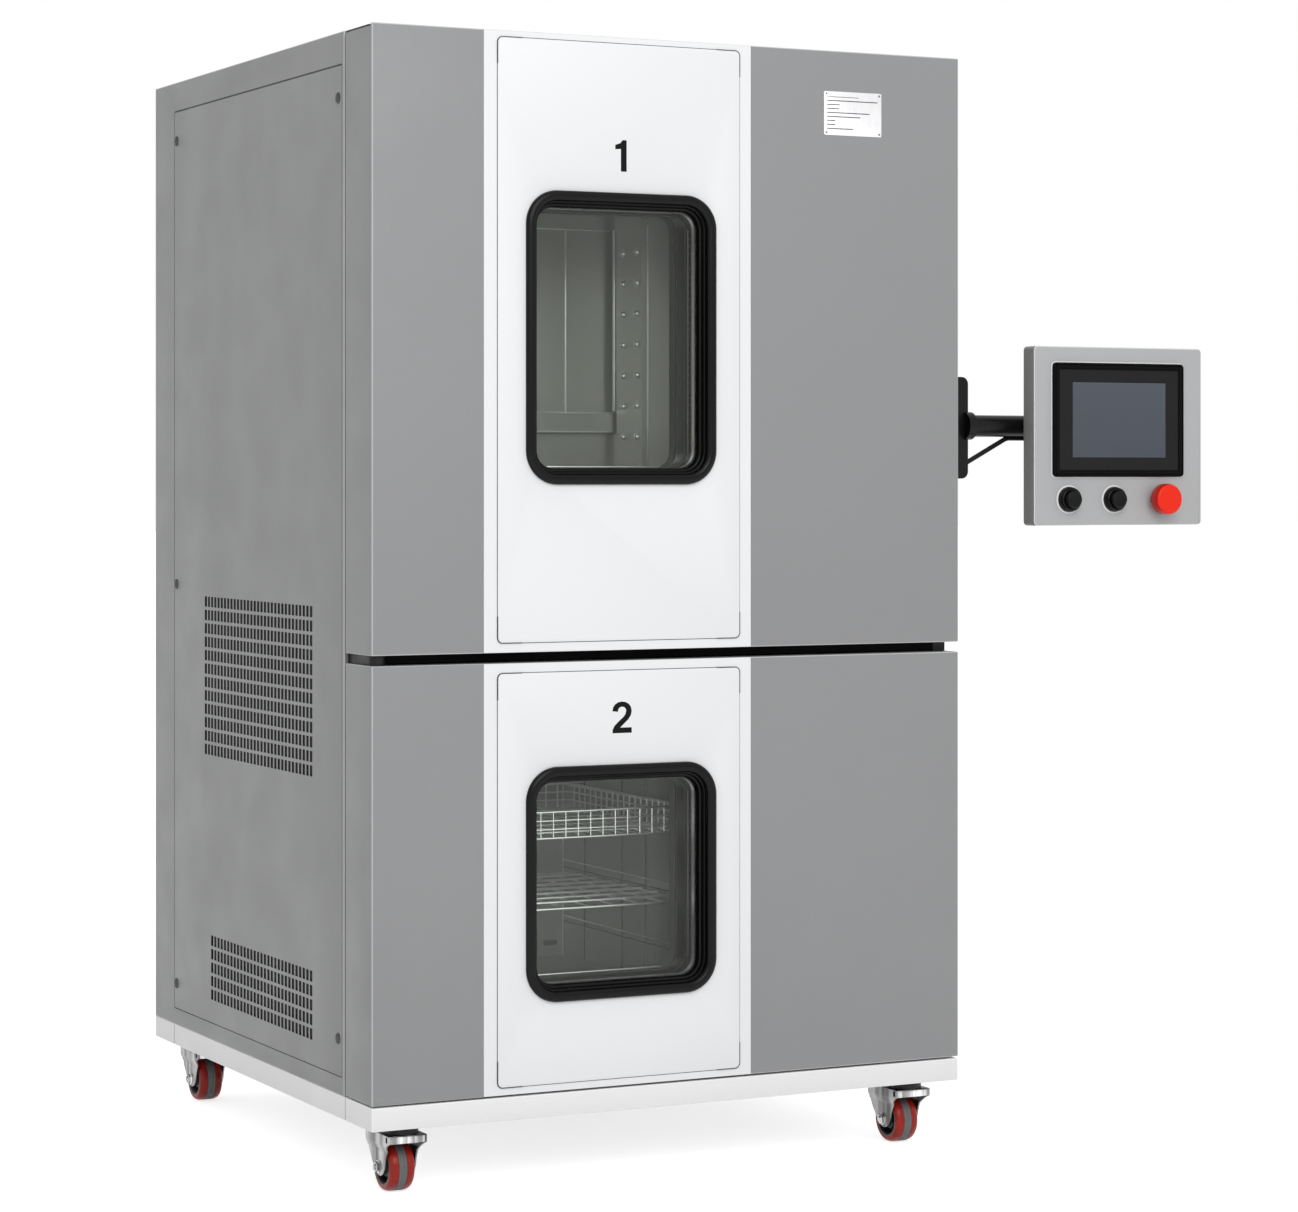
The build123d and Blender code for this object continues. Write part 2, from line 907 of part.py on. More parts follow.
def wire_basket():
    """The wire basket: a grid floor with upright wires and loops round it."""
    basket = wire_grid(basket_level)
    top = basket_level + basket_height
    inset = frame_wire - grid_wire
    for loop in range(1, basket_loops + 1):
        rise = basket_level + (basket_height - frame_wire) * loop / basket_loops
        basket += wire_frame(rise)
    low = basket_level + grid_wire
    for x in steps(rack_left, rack_right - grid_wire, grid_pitch):
        for y in (rack_front + inset, rack_back - frame_wire):
            basket += block(x, x + grid_wire, y, y + grid_wire, low, top - 1)
    for y in steps(rack_front, rack_back - grid_wire, grid_pitch)[1:-1]:
        for x in (rack_left + inset, rack_right - frame_wire):
            basket += block(x, x + grid_wire, y, y + grid_wire, low, top - 1)
    return basket


def heater():
    """Four sheathed rods between two end brackets on the hot plenum's back wall."""
    left = cavity_left + heater_inset
    right = cavity_right - heater_inset
    middle_y = (hot_baffle_front + panel_sheet + hot_back) / 2
    top = heater_bottom + (heater_rods + 1) * heater_pitch
    pieces = block(left, left + panel_sheet, middle_y - 15, hot_back, heater_bottom, top)
    pieces += block(right - panel_sheet, right, middle_y - 15, hot_back, heater_bottom, top)
    for index in range(heater_rods):
        z = heater_bottom + (index + 1) * heater_pitch
        pieces += bar_x(middle_y, z, heater_rod_radius, left, right)
    return pieces


def finned_coil(x0, x1, y0, y1, z0, z1):
    """A finned heat exchanger: a tube block with plate fins standing out of it on both sides."""
    third = (y1 - y0) / 3
    coil = block(x0, x1, y0 + third, y1 - third, z0, z1)
    fin = (x1 - x0) / (2 * coil_fins - 1)
    for index in range(coil_fins):
        left = x0 + 2 * index * fin
        coil += block(left, left + fin, y0, y1, z0, z1)
    return coil


def evaporator():
    """The cooling coil in the cold plenum, standing on the cavity floor."""
    margin = heater_inset
    front = cold_baffle_front + panel_sheet + margin / 2
    return finned_coil(
        cavity_left + margin,
        cavity_right - margin,
        front,
        cold_back - margin / 2,
        cold_cavity.bottom,
        cold_wheel_z - blower_radius - margin,
    )


def condenser():
    """The condenser coil behind the lower left grille, standing on the base."""
    coil = finned_coil(
        condenser_front,
        condenser_front + condenser_length,
        -condenser_left - condenser_thickness,
        -condenser_left,
        base_top,
        base_top + condenser_height,
    )
    return Rot(0, 0, 90) * coil


def blower_wheel(back, wheel_z, foam_end):
    """A centrifugal wheel with its shaft, which runs back through the foam into the motor."""
    y1 = back - blower_gap
    y0 = y1 - blower_width
    disc = bar_y(wheel_centre_x, wheel_z, blower_radius, y1 - panel_sheet, y1)
    ring = bar_y(wheel_centre_x, wheel_z, blower_radius, y0, y0 + panel_sheet)
    ring -= bar_y(wheel_centre_x, wheel_z, 0.7 * blower_radius, y0 - 1, y0 + panel_sheet + 1)
    wheel = disc + ring
    blade = block(
        0.72 * blower_radius, 0.97 * blower_radius, y0, y1, -panel_sheet / 2, panel_sheet / 2
    )
    for index in range(blade_count):
        turn = Rot(0, 360 * index / blade_count, 0)
        wheel += Pos(wheel_centre_x, 0, wheel_z) * turn * blade
    wheel += bar_y(wheel_centre_x, wheel_z, 3 * shaft_radius, y1 - 20, y1)
    shaft_end = foam_end + motor_bore - 2
    return wheel + bar_y(wheel_centre_x, wheel_z, shaft_radius, y1 - 20, shaft_end)


def blower_motor(wheel_z, foam_end):
    """A flanged motor on the back of the foam, bored for its wheel's shaft."""
    half = motor_flange / 2
    flange = Area(
        wheel_centre_x - half, wheel_centre_x + half, wheel_z - half, wheel_z + half
    )
    motor = flange.panel(foam_end, foam_end + 2 * shell_wall)
    motor += bar_y(wheel_centre_x, wheel_z, motor_radius, foam_end, foam_end + motor_length)
    bore = shaft_radius + pin_clearance
    return motor - bar_y(wheel_centre_x, wheel_z, bore, foam_end - 1, foam_end + motor_bore)


def compressor():
    """A hermetic compressor on its foot plate."""
    radius = compressor_radius
    body = bar_z(
        compressor_x, compressor_y, radius, base_top + shell_wall, base_top + compressor_height
    )
    body = fillet(body.edges().filter_by(GeomType.CIRCLE), radius / 3)
    foot = block(
        compressor_x - radius,
        compressor_x + radius,
        compressor_y - radius,
        compressor_y + radius,
        base_top,
        base_top + 2 * shell_wall,
    )
    return body + foot


def gear_item(size, y, rail_z):
    """A piece of control gear centred on its rail, given as width, height and depth."""
    width, height, depth = size
    surface = foam_right + panel_sheet
    bottom = rail_z + (gear_rail_height - height) / 2
    return block(surface, surface + depth, y, y + width, bottom, bottom + height)


def electrics_panel():
    """The control gear on its rails and back plate, fixed to the right side of the foam."""
    front = cabinet_front + arm_post
    back = front + gear_plate_width
    surface = foam_right + panel_sheet
    top = gear_plate_bottom + gear_plate_height
    gear = block(foam_right, surface, front, back, gear_plate_bottom, top)
    start = front + gear_margin
    for rail_z in gear_rails:
        rail_top = rail_z + gear_rail_height
        end = back - gear_margin
        gear += block(surface, surface + gear_rail_depth, start, end, rail_z, rail_top)
    contactor_rail, relay_rail, controller_rail, terminal_rail = gear_rails
    for index in range(gear_per_row):
        y = start + gear_margin + index * gear_pitch
        gear += gear_item(contactor, y, contactor_rail)
        gear += gear_item(relay, y, relay_rail)
    gear += gear_item(controller, start + gear_margin, controller_rail)
    gear += gear_item(power_supply, back - 2 * gear_margin - power_supply[0], controller_rail)
    gear += gear_item(terminal_block, start + gear_margin, terminal_rail)
    return gear


def cable_gland():
    """The gland where the supply cable would enter the rear panel, with its inside nut."""
    x = cabinet_width - gland_from_right
    plane = Plane(origin=(x, cabinet_depth, gland_z), x_dir=(1, 0, 0), z_dir=(0, 1, 0))
    body = extrude(plane * RegularPolygon(gland_radius, 6), amount=gland_reach / 2)
    body += bar_y(x, gland_z, gland_radius * 0.8, cabinet_depth, cabinet_depth + gland_reach)
    inside = cabinet_depth - panel_sheet - shell_wall
    body += bar_y(x, gland_z, gland_thread, inside - 2, cabinet_depth)
    nut_plane = Plane(origin=(x, inside, gland_z), x_dir=(1, 0, 0), z_dir=(0, 1, 0))
    body += extrude(nut_plane * RegularPolygon(gland_radius, 6), amount=shell_wall)
    return body - bar_y(x, gland_z, 0.55 * gland_radius, inside - 3, cabinet_depth + gland_reach + 1)


# Operator arm and pod


knuckle_low = arm_leaf_bottom + arm_leaf_height * 0.27
knuckle_high = arm_leaf_bottom + arm_leaf_height * 0.73
arm_leaf_top = arm_leaf_bottom + arm_leaf_height


def arm_hinge_leaf():
    """The fixed hinge leaf on the cabinet's right post, with its knuckles and pin."""
    back = arm_axis_y + fixed_leaf_width / 2
    front = cabinet_front + shell_wall
    leaf = block(
        cabinet_width,
        cabinet_width + fixed_leaf_thickness,
        front,
        back,
        arm_leaf_bottom,
        arm_leaf_top,
    )
    half = knuckle_radius / 2
    spans = ((arm_leaf_bottom, knuckle_low), (knuckle_high, arm_leaf_top))
    for low, high in spans:
        leaf += bar_z(arm_axis_x, arm_axis_y, knuckle_radius, low, high)
        leaf += block(
            cabinet_width, arm_axis_x, arm_axis_y - half, arm_axis_y + half, low, high
        )
    return leaf + bar_z(arm_axis_x, arm_axis_y, arm_pin_radius, arm_leaf_bottom, arm_leaf_top)


def arm_leaf():
    """The moving hinge leaf, an upright plate with rounded outer corners."""
    half = arm_leaf_thickness / 2
    clear = knuckle_radius + 1
    outline = Area(
        arm_axis_x - arm_leaf_corner,
        arm_axis_x + arm_leaf_reach,
        arm_leaf_bottom,
        arm_leaf_top,
        arm_leaf_corner,
    )
    leaf = outline.panel(arm_axis_y - half, arm_axis_y + half)
    leaf -= block(
        arm_axis_x - arm_leaf_corner - 1,
        arm_axis_x + clear,
        arm_axis_y - half - 1,
        arm_axis_y + half + 1,
        arm_leaf_bottom - 1,
        arm_leaf_top + 1,
    )
    low = knuckle_low + knuckle_gap
    high = knuckle_high - knuckle_gap
    leaf += bar_z(arm_axis_x, arm_axis_y, knuckle_radius, low, high)
    leaf += block(
        arm_axis_x, arm_axis_x + clear, arm_axis_y - half, arm_axis_y + half, low, high
    )
    bore = arm_pin_radius + axle_clearance
    return leaf - bar_z(arm_axis_x, arm_axis_y, bore, low - 1, high + 1)


def brace_rod():
    """The bent rod under the arm tube, from the foot of the leaf to the pod."""
    start_x = arm_axis_x + arm_leaf_reach - arm_leaf_corner
    under = arm_z - arm_radius - brace_radius / 2
    bend_x = arm_axis_x + arm_leaf_reach + brace_run
    end_x = pod_left + pod_width / 2
    route = FilletPolyline(
        (start_x, arm_axis_y, brace_start_z),
        (bend_x, arm_axis_y, under),
        (end_x, arm_axis_y, under),
        radius=brace_bend_radius,
    )
    section = Plane(origin=route @ 0, z_dir=route % 0) * Circle(brace_radius)
    return sweep(section, path=route)


def swing_arm():
    """The moving leaf, weld collar, arm tube, brace rod and the plate that carries the pod."""
    tube_start = arm_axis_x + arm_leaf_reach - collar_width / 2
    tube_end = pod_left + pod_width / 2 + collar_radius
    pod_back = pod_front + pod_depth
    pod_middle = pod_left + pod_width / 2
    arm = arm_leaf()
    arm += bar_x(arm_axis_y, arm_z, collar_radius, tube_start, tube_start + collar_width)
    arm += bar_x(arm_axis_y, arm_z, arm_radius, tube_start, tube_end)
    arm += brace_rod()
    half = mount_plate / 2
    plate = Area(pod_middle - half, pod_middle + half, arm_z - half, arm_z + half)
    arm += plate.panel(pod_back, pod_back + mount_plate_sheet)
    arm += block(
        pod_middle - arm_radius,
        pod_middle + arm_radius,
        pod_back,
        arm_axis_y,
        arm_z - arm_radius,
        arm_z + arm_radius,
    )
    return arm


pod_area = Area(pod_left, pod_left + pod_width, pod_bottom, pod_bottom + pod_height, pod_corner)
bezel_area = Area(
    pod_left + bezel_left,
    pod_left + bezel_left + bezel_width,
    pod_bottom + bezel_bottom,
    pod_bottom + bezel_bottom + bezel_height,
    bezel_corner,
)
button_places = [pod_left + first_button_x + index * button_pitch for index in range(3)]
button_height = pod_bottom + button_z


def display_area():
    """The lit part of the operator screen."""
    return Area(
        bezel_area.left + screen_inset_x,
        bezel_area.right - screen_inset_x,
        bezel_area.bottom + screen_inset_z,
        bezel_area.top - screen_inset_z,
    )


def pod_case():
    """The operator box, hollow, with cut-outs for the screen and the three buttons."""
    pod_back = pod_front + pod_depth
    case = pod_area.panel(pod_front, pod_back)
    case -= pod_area.grown(-pod_wall).panel(pod_front + pod_wall, pod_back - pod_wall)
    case -= bezel_area.grown(-step_inset).panel(pod_front - 1, pod_front + pod_wall + 1)
    for x in button_places:
        case -= bar_y(
            x, button_height, barrel_radius + cap_clearance, pod_front - 1, pod_front + pod_wall + 1
        )
    return case


def hmi_bezel():
    """The black frame of the operator screen, stepped in front, with its body behind the panel."""
    face = pod_front - bezel_reach
    bezel = bezel_area.panel(face, pod_front)
    bezel = fillet(bezel.faces().sort_by(Axis.Y)[0].edges(), 2)
    bezel += bezel_area.grown(-step_inset - 1).panel(pod_front, pod_front + bezel_body_depth)
    bezel -= bezel_area.grown(-step_inset + bezel_corner / 2).panel(face - 1, face + step_depth)
    return bezel - display_area().panel(face, face + step_depth + screen_depth)


def hmi_screen():
    """The display glass, flush with the bezel's step."""
    face = pod_front - bezel_reach + step_depth
    return display_area().panel(face, face + screen_depth)


def button_collar(x, radius, reach, cup_radius):
    """A fixed ring in front of the pod with a threaded barrel behind it, bored for its stem."""
    ring = bar_y(x, button_height, radius, pod_front - reach, pod_front)
    cup_floor = pod_front - 1
    ring += bar_y(x, button_height, barrel_radius, pod_front, pod_front + barrel_depth)
    ring -= bar_y(x, button_height, cup_radius, pod_front - reach - 1, cup_floor)
    bore = stem_radius + pin_clearance
    return ring - bar_y(x, button_height, bore, cup_floor - 1, pod_front + barrel_depth + 1)


def button_collars():
    """The fixed collars of the three buttons."""
    cup = cap_radius + cap_clearance
    left, middle, right = button_places
    stop_cup = stop_neck_radius + cap_clearance
    return together(
        button_collar(left, collar_ring_radius, collar_ring_reach, cup),
        button_collar(middle, collar_ring_radius, collar_ring_reach, cup),
        button_collar(right, stop_collar_radius, stop_collar_reach, stop_cup),
    )


def push_button(x):
    """A flat black push button: cap and stem."""
    front = pod_front - cap_reach
    cap = bar_y(x, button_height, cap_radius, front, pod_front - 1 - cap_back)
    cap = fillet(cap.faces().sort_by(Axis.Y)[0].edges(), 1.5)
    return cap + bar_y(x, button_height, stem_radius, front + 5, pod_front + barrel_depth - 5)


def stop_button(x):
    """The red mushroom head of the emergency stop, with its neck and stem."""
    front = pod_front - stop_cap_reach
    head = bar_y(x, button_height, stop_cap_radius, front, pod_front - stop_cap_back)
    head = fillet(head.faces().sort_by(Axis.Y)[0].edges(), 6)
    neck_end = pod_front - 1 - cap_back
    head += bar_y(x, button_height, stop_neck_radius, front + 8, neck_end)
    return head + bar_y(x, button_height, stem_radius, front + 8, pod_front + barrel_depth - 5)


# Casters


caster_places = {
    "front_left": (caster_side, caster_front),
    "front_right": (cabinet_width - caster_side, caster_front),
    "rear_left": (caster_side, cabinet_depth - caster_rear),
    "rear_right": (cabinet_width - caster_side, cabinet_depth - caster_rear),
}
plate_low = caster_height - caster_plate_sheet
crown_top = plate_low - raceway_height - raceway_gap
crown_low = crown_top - fork_crown_height
axle_span = fork_inside / 2 + fork_leg


def caster_plate(x, y):
    """The top plate, ball raceway and kingpin of a caster, which stay still as it swivels."""
    plate = block(
        x - caster_plate_x / 2,
        x + caster_plate_x / 2,
        y - caster_plate_y / 2,
        y + caster_plate_y / 2,
        plate_low,
        caster_height,
    )
    plate += bar_z(x, y, raceway_radius, plate_low - raceway_height, plate_low)
    low = crown_low - raceway_gap
    plate += bar_z(x, y, kingpin_radius, low - 4, plate_low)
    return plate + bar_z(x, y, 1.6 * kingpin_radius, low - 4, low)


def fork_side():
    """The outline of the fork, seen along X: the crown with its front lip, then the leg, down
    and back to the eye of the axle."""
    knee = crown_low - fork_joggle_bottom
    strip = 4.0
    middle = (fork_waist + fork_rear) / 2
    outline = make_hull(
        (Pos(fork_trail, wheel_radius) * Circle(fork_eye)).edges()
        + (Pos(middle, knee - strip / 2) * Rectangle(fork_rear - fork_waist, strip)).edges()
    )
    crown = Polyline(
        (-fork_crown_front, crown_top),
        (-fork_crown_front, crown_low - fork_lip),
        (fork_waist, knee - strip / 2),
        (fork_rear, knee - strip / 2),
        (fork_rear, crown_top),
        close=True,
    )
    return outline + make_face(crown)


def fork_section():
    """The pressed sheet of the fork, seen along Y: it steps in from the crown to the legs."""
    foot = wheel_radius - fork_eye - 1
    knee = crown_low - fork_joggle_bottom
    shoulder = crown_low - fork_joggle_top
    outer = fork_crown_half
    outside = [(axle_span, foot), (axle_span, knee), (outer, shoulder), (outer, crown_top)]
    inner = outer - fork_leg
    inside = [
        (inner, crown_low),
        (inner, shoulder),
        (axle_span - fork_leg, knee),
        (axle_span - fork_leg, foot),
    ]
    right = outside[::-1] + inside[::-1]
    left = [(-x, z) for x, z in reversed(right)]
    return make_face(Polyline(*right, *left, close=True))


def caster_fork(x, y):
    """The swivelling fork: a pressed crown with two stepped legs, the axle bolt and its nut."""
    across = Plane(origin=(0, 0, 0), x_dir=(1, 0, 0), z_dir=(0, -1, 0))
    along = Plane(origin=(0, 0, 0), x_dir=(0, 1, 0), z_dir=(1, 0, 0))
    depth = fork_rear + fork_crown_front
    sheet = Pos(0, fork_rear + 1, 0) * extrude(across * fork_section(), amount=depth + 2)
    width = 2 * fork_crown_half + 2
    side = Pos(-width / 2, 0, 0) * extrude(along * fork_side(), amount=width)
    fork = sheet & side
    fork -= bar_z(0, 0, kingpin_radius + axle_clearance, crown_low - 1, crown_top + 1)
    reach = axle_span + bolt_head_height
    fork += bar_x(fork_trail, wheel_radius, axle_radius, -reach, reach)
    fork += hexagon(fork_trail, wheel_radius, bolt_head_radius, -reach, -axle_span)
    fork += hexagon(fork_trail, wheel_radius, bolt_head_radius, axle_span, reach)
    return Pos(x, y, 0) * fork


def wheel_turned(points):
    """A wheel part turned about the axle from half of its section, given as across and out."""
    plane = Plane(origin=(0, 0, 0), x_dir=(1, 0, 0), z_dir=(0, -1, 0))
    outline = plane * make_face(Polyline(*points, close=True))
    return revolve(outline, Axis.X)


def caster_hub(x, y):
    """The wheel's core: a rim, a thinner web and a boss bored for the axle."""
    rim = wheel_radius - tyre_depth
    half_web = hub_web / 2
    half = wheel_width / 2 - 1
    boss = hub_boss_width / 2
    bore = axle_radius + axle_clearance
    inner_rim = rim - 4
    points = [
        (-boss, bore),
        (boss, bore),
        (boss, hub_boss_radius),
        (half_web, hub_boss_radius + 2),
        (half_web, inner_rim),
        (half, inner_rim),
        (half, rim),
        (-half, rim),
        (-half, inner_rim),
        (-half_web, inner_rim),
        (-half_web, hub_boss_radius + 2),
        (-boss, hub_boss_radius),
    ]
    return Pos(x, y + fork_trail, wheel_radius) * wheel_turned(points)


def caster_tyre(x, y):
    """The tyre, crowned towards the tread."""
    inner = wheel_radius - tyre_depth + axle_clearance
    half = wheel_width / 2
    shoulder = wheel_radius - tyre_crown
    points = [
        (-half, inner),
        (half, inner),
        (half, shoulder - tyre_crown / 2),
        (half - tyre_crown / 2, shoulder + tyre_crown / 2),
        (half - 2 * tyre_crown, wheel_radius),
        (2 * tyre_crown - half, wheel_radius),
        (tyre_crown / 2 - half, shoulder + tyre_crown / 2),
        (-half, shoulder - tyre_crown / 2),
    ]
    return Pos(x, y + fork_trail, wheel_radius) * wheel_turned(points)


def build():
    """Write every piece."""
    os.makedirs("parts", exist_ok=True)
    save("base_frame", base_frame())
    save("cabinet_shell", cabinet_shell())
    save("side_panel_left", side_panel_left())
    save("side_panel_right", side_panel_right())
    save("rear_panel", rear_panel())
    save("front_frame", front_frame())
    save("centre_rail", centre_rail())
    save("pivot_hinges", pivot_hinges())
    for name, door in doors.items():
        save(f"{name}_door_shell", door_shell(door))
        save(f"{name}_door_front_panel", front_panel(door))
        save(f"{name}_window_trim", window_trim(door))
        save(f"{name}_window_glass", window_glass(door))
        save(f"{name}_window_spacer", window_spacer(door))
        save(f"{name}_door_liner", door_liner(door))
        save(f"{name}_door_gasket", door_gasket(door))
    hot_end = hot_back + liner_sheet + foam_thickness
    cold_end = cold_back + liner_sheet + foam_thickness
    save("hot_liner", liner(hot_cavity, hot_back, hot_wheel_z))
    save("cold_liner", liner(cold_cavity, cold_back, cold_wheel_z))
    save("insulation", insulation())
    save("air_baffles", air_baffles())
    save("shelf_rails", shelf_rails())
    save("wire_basket", wire_basket())
    save("wire_shelf", wire_shelf())
    save("heater", heater())
    save("evaporator", evaporator())
    save("hot_blower_wheel", blower_wheel(hot_back, hot_wheel_z, hot_end))
    save("cold_blower_wheel", blower_wheel(cold_back, cold_wheel_z, cold_end))
    motors = blower_motor(hot_wheel_z, hot_end), blower_motor(cold_wheel_z, cold_end)
    save("blower_motors", together(*motors))
    save("compressor", compressor())
    save("condenser", condenser())
    save("electrics_panel", electrics_panel())
    save("cable_gland", cable_gland())
    save("arm_hinge_leaf", arm_hinge_leaf())
    save("swing_arm", swing_arm())
    save("pod_case", pod_case())
    save("hmi_bezel", hmi_bezel())
    save("hmi_screen", hmi_screen())
    save("button_collars", button_collars())
    save("black_button_left", push_button(button_places[0]))
    save("black_button_right", push_button(button_places[1]))
    save("e_stop_button", stop_button(button_places[2]))
    save("caster_plates", together(*[caster_plate(x, y) for x, y in caster_places.values()]))
    for name, (x, y) in caster_places.items():
        save(f"{name}_fork", caster_fork(x, y))
        save(f"{name}_hub", caster_hub(x, y))
        save(f"{name}_tyre", caster_tyre(x, y))


build()
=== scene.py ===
import json
import math

import bmesh
import bpy
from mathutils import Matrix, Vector


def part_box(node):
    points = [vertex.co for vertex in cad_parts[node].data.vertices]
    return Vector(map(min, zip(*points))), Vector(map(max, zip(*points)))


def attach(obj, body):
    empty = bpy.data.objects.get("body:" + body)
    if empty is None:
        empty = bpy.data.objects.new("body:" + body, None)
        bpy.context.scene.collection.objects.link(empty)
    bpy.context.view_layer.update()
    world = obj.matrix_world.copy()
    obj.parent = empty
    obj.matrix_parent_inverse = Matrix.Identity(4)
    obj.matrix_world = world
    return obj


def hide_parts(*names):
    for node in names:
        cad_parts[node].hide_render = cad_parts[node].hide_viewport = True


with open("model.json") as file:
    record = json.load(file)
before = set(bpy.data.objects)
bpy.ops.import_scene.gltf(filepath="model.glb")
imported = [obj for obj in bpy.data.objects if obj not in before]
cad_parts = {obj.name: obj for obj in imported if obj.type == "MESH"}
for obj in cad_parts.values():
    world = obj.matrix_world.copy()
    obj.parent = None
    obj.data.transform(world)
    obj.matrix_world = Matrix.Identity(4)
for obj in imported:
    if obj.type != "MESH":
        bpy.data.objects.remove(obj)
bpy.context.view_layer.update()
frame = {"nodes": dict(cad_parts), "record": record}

bl_info = {
    "name": "Two-zone test chamber",
    "version": (1, 0, 0),
    "blender": (4, 5, 0),
    "location": "View3D > Sidebar > Chamber",
    "description": "Finishes a two-zone environmental test chamber around its packed frame",
    "category": "Object",
}

MM = 0.001
# The cabinet's width in millimetres, and how close in metres a point is to a plane it lies on
CABINET_WIDTH = 1012
ON_PLANE = 2e-5
SLOT_OF_NODE = {part["node"]: part["material_slot"] for part in frame["record"]["subparts"]}
LEFT_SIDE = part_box("lower_door_shell")[0].x
DOOR_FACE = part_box("lower_door_shell")[0].y


def at(x, y, z):
    """A point given in millimetres from the cabinet's left side, the door faces and the floor."""
    return Vector((LEFT_SIDE + x * MM, DOOR_FACE + y * MM, z * MM))


def shade(red, green, blue):
    """A screen colour, given from 0 to 255, as the linear values that Blender works in."""
    values = []
    for value in (red, green, blue):
        share = value / 255
        values.append(share / 12.92 if share < 0.04045 else ((share + 0.055) / 1.055) ** 2.4)
    return tuple(values)


# Sizes and colours that a user would change


def length(name, description, default):
    """A size in millimetres, kept as a Blender length."""
    return bpy.props.FloatProperty(
        name=name, description=description, default=default * MM, min=0, unit="LENGTH"
    )


def colour(name, description, default):
    """A colour of one finish."""
    return bpy.props.FloatVectorProperty(
        name=name, description=description, default=default, size=3, min=0, max=1, subtype="COLOR"
    )


class ChamberSizes(bpy.types.PropertyGroup):
    """Sizes of the details that are added to the frame."""

    slot_width: length("Slot width", "Width of one slot in the left panel", 10.0)
    slot_height: length("Slot height", "Height of one slot in the left panel", 17)
    slot_pitch_y: length("Slot spacing along", "From one slot to the next in a row", 15.7)
    slot_pitch_z: length("Slot spacing up", "From one row of slots to the next", 22.3)
    wire_pitch: length("Wire spacing", "From one rack wire to the next", 21)
    numeral_height: length("Numeral height", "Height of the zone numbers on the doors", 48)
    fold_radius: length("Fold radius", "Rounding of the folded sheet edges", 1.6)


class ChamberColours(bpy.types.PropertyGroup):
    """Colours of the main finishes."""

    cabinet_grey: colour("Cabinet grey", "Powder coat of cabinet and doors", (0.285, 0.287, 0.292))
    panel_white: colour("Panel white", "Band and raised panels of the doors", shade(238, 239, 240))
    skirt_white: colour("Skirt white", "Powder coat of the base", shade(240, 240, 241))
    pod_grey: colour("Pod grey", "Powder coat of the operator pod", shade(180, 181, 182))
    stop_red: colour("Stop red", "Emergency stop button", shade(248, 42, 14))
    tyre_red: colour("Tyre red", "Polyurethane of the wheels", shade(160, 32, 18))


class ChamberStage(bpy.types.PropertyGroup):
    """Light and background."""

    sky_strength: bpy.props.FloatProperty(
        name="Sky strength", description="Even light from all round", default=0.655, min=0
    )
    key_power: bpy.props.FloatProperty(
        name="Front light", description="Power of the large soft light in front", default=128, min=0
    )
    fill_power: bpy.props.FloatProperty(
        name="Side light", description="Power of the soft light on the left", default=1, min=0
    )


# Working by hand: selecting, shaping and finishing


def only(piece):
    """Makes one piece the selected and active one."""
    bpy.ops.object.select_all(action="DESELECT")
    piece.select_set(True)
    bpy.context.view_layer.objects.active = piece


class shaping:
    """Edit mode on one piece, with all of it selected."""

    def __init__(self, piece):
        self.piece = piece

    def __enter__(self):
        only(self.piece)
        bpy.ops.object.mode_set(mode="EDIT")
        bpy.ops.mesh.select_mode(type="VERT")
        bpy.ops.mesh.select_all(action="SELECT")
        return self.piece

    def __exit__(self, *problem):
        bpy.ops.object.mode_set(mode="OBJECT")


def choose(kind, test):
    """In edit mode, selects only the vertices, edges or faces that pass the test."""
    bpy.ops.mesh.select_mode(type=kind)
    bpy.ops.mesh.select_all(action="DESELECT")
    mesh_data = bpy.context.edit_object.data
    mesh = bmesh.from_edit_mesh(mesh_data)
    mesh.normal_update()
    parts = {"VERT": mesh.verts, "EDGE": mesh.edges, "FACE": mesh.faces}[kind]
    for part in parts:
        if test(part):
            part.select_set(True)
    mesh.select_flush_mode()
    bmesh.update_edit_mesh(mesh_data)


def settle(piece, name=None):
    """Moves the piece's place, turn and scale into its mesh, and names it."""
    only(piece)
    bpy.ops.object.transform_apply(location=True, rotation=True, scale=True)
    if name:
        piece.name = name
        piece.data.name = name
    return piece


def modified(piece, kind, **settings):
    """Adds a modifier with its settings and applies it."""
    only(piece)
    modifier = piece.modifiers.new(kind.lower(), kind)
    for name, value in settings.items():
        setattr(modifier, name, value)
    bpy.ops.object.modifier_apply(modifier=modifier.name)
    return piece


def rowed(piece, count, step):
    """Repeats a piece in a row, each copy moved on by the step."""
    return modified(
        piece,
        "ARRAY",
        count=count,
        use_relative_offset=False,
        use_constant_offset=True,
        constant_offset_displace=step,
    )


def copied(piece, name, shift):
    """A copy with its own mesh, moved by the shift."""
    only(piece)
    bpy.ops.object.duplicate()
    twin = bpy.context.object
    twin.location = shift
    return settle(twin, name)


def joined(name, pieces):
    """Several pieces made into one."""
    only(pieces[0])
    for piece in pieces[1:]:
        piece.select_set(True)
    if len(pieces) > 1:
        bpy.ops.object.join()
    return settle(bpy.context.object, name)


def repeated(name, model, places):
    """The model, with one more copy for each place after the first, all made into one piece."""
    copies = [
        copied(model, f"{name}_{index}", place - places[0]) for index, place in enumerate(places[1:])
    ]
    return joined(name, [model, *copies])


def folded(edge):
    """Whether the surface turns sharply at this edge."""
    return len(edge.link_faces) == 2 and edge.calc_face_angle(0) > 0.5


def rounded(piece, width, test, segments=3):
    """Rounds the sharp edges of the piece that pass the test."""
    with shaping(piece):
        choose("EDGE", lambda edge: folded(edge) and test(edge))
        bpy.ops.mesh.bevel(offset=width, segments=segments, affect="EDGES")
    return piece


def planes_of(edge, low, high):
    """On how many sides of a box both ends of the edge lie."""
    count = 0
    for axis in range(3):
        for side in (low[axis], high[axis]):
            if all(abs(vertex.co[axis] - side) < ON_PLANE for vertex in edge.verts):
                count += 1
    return count


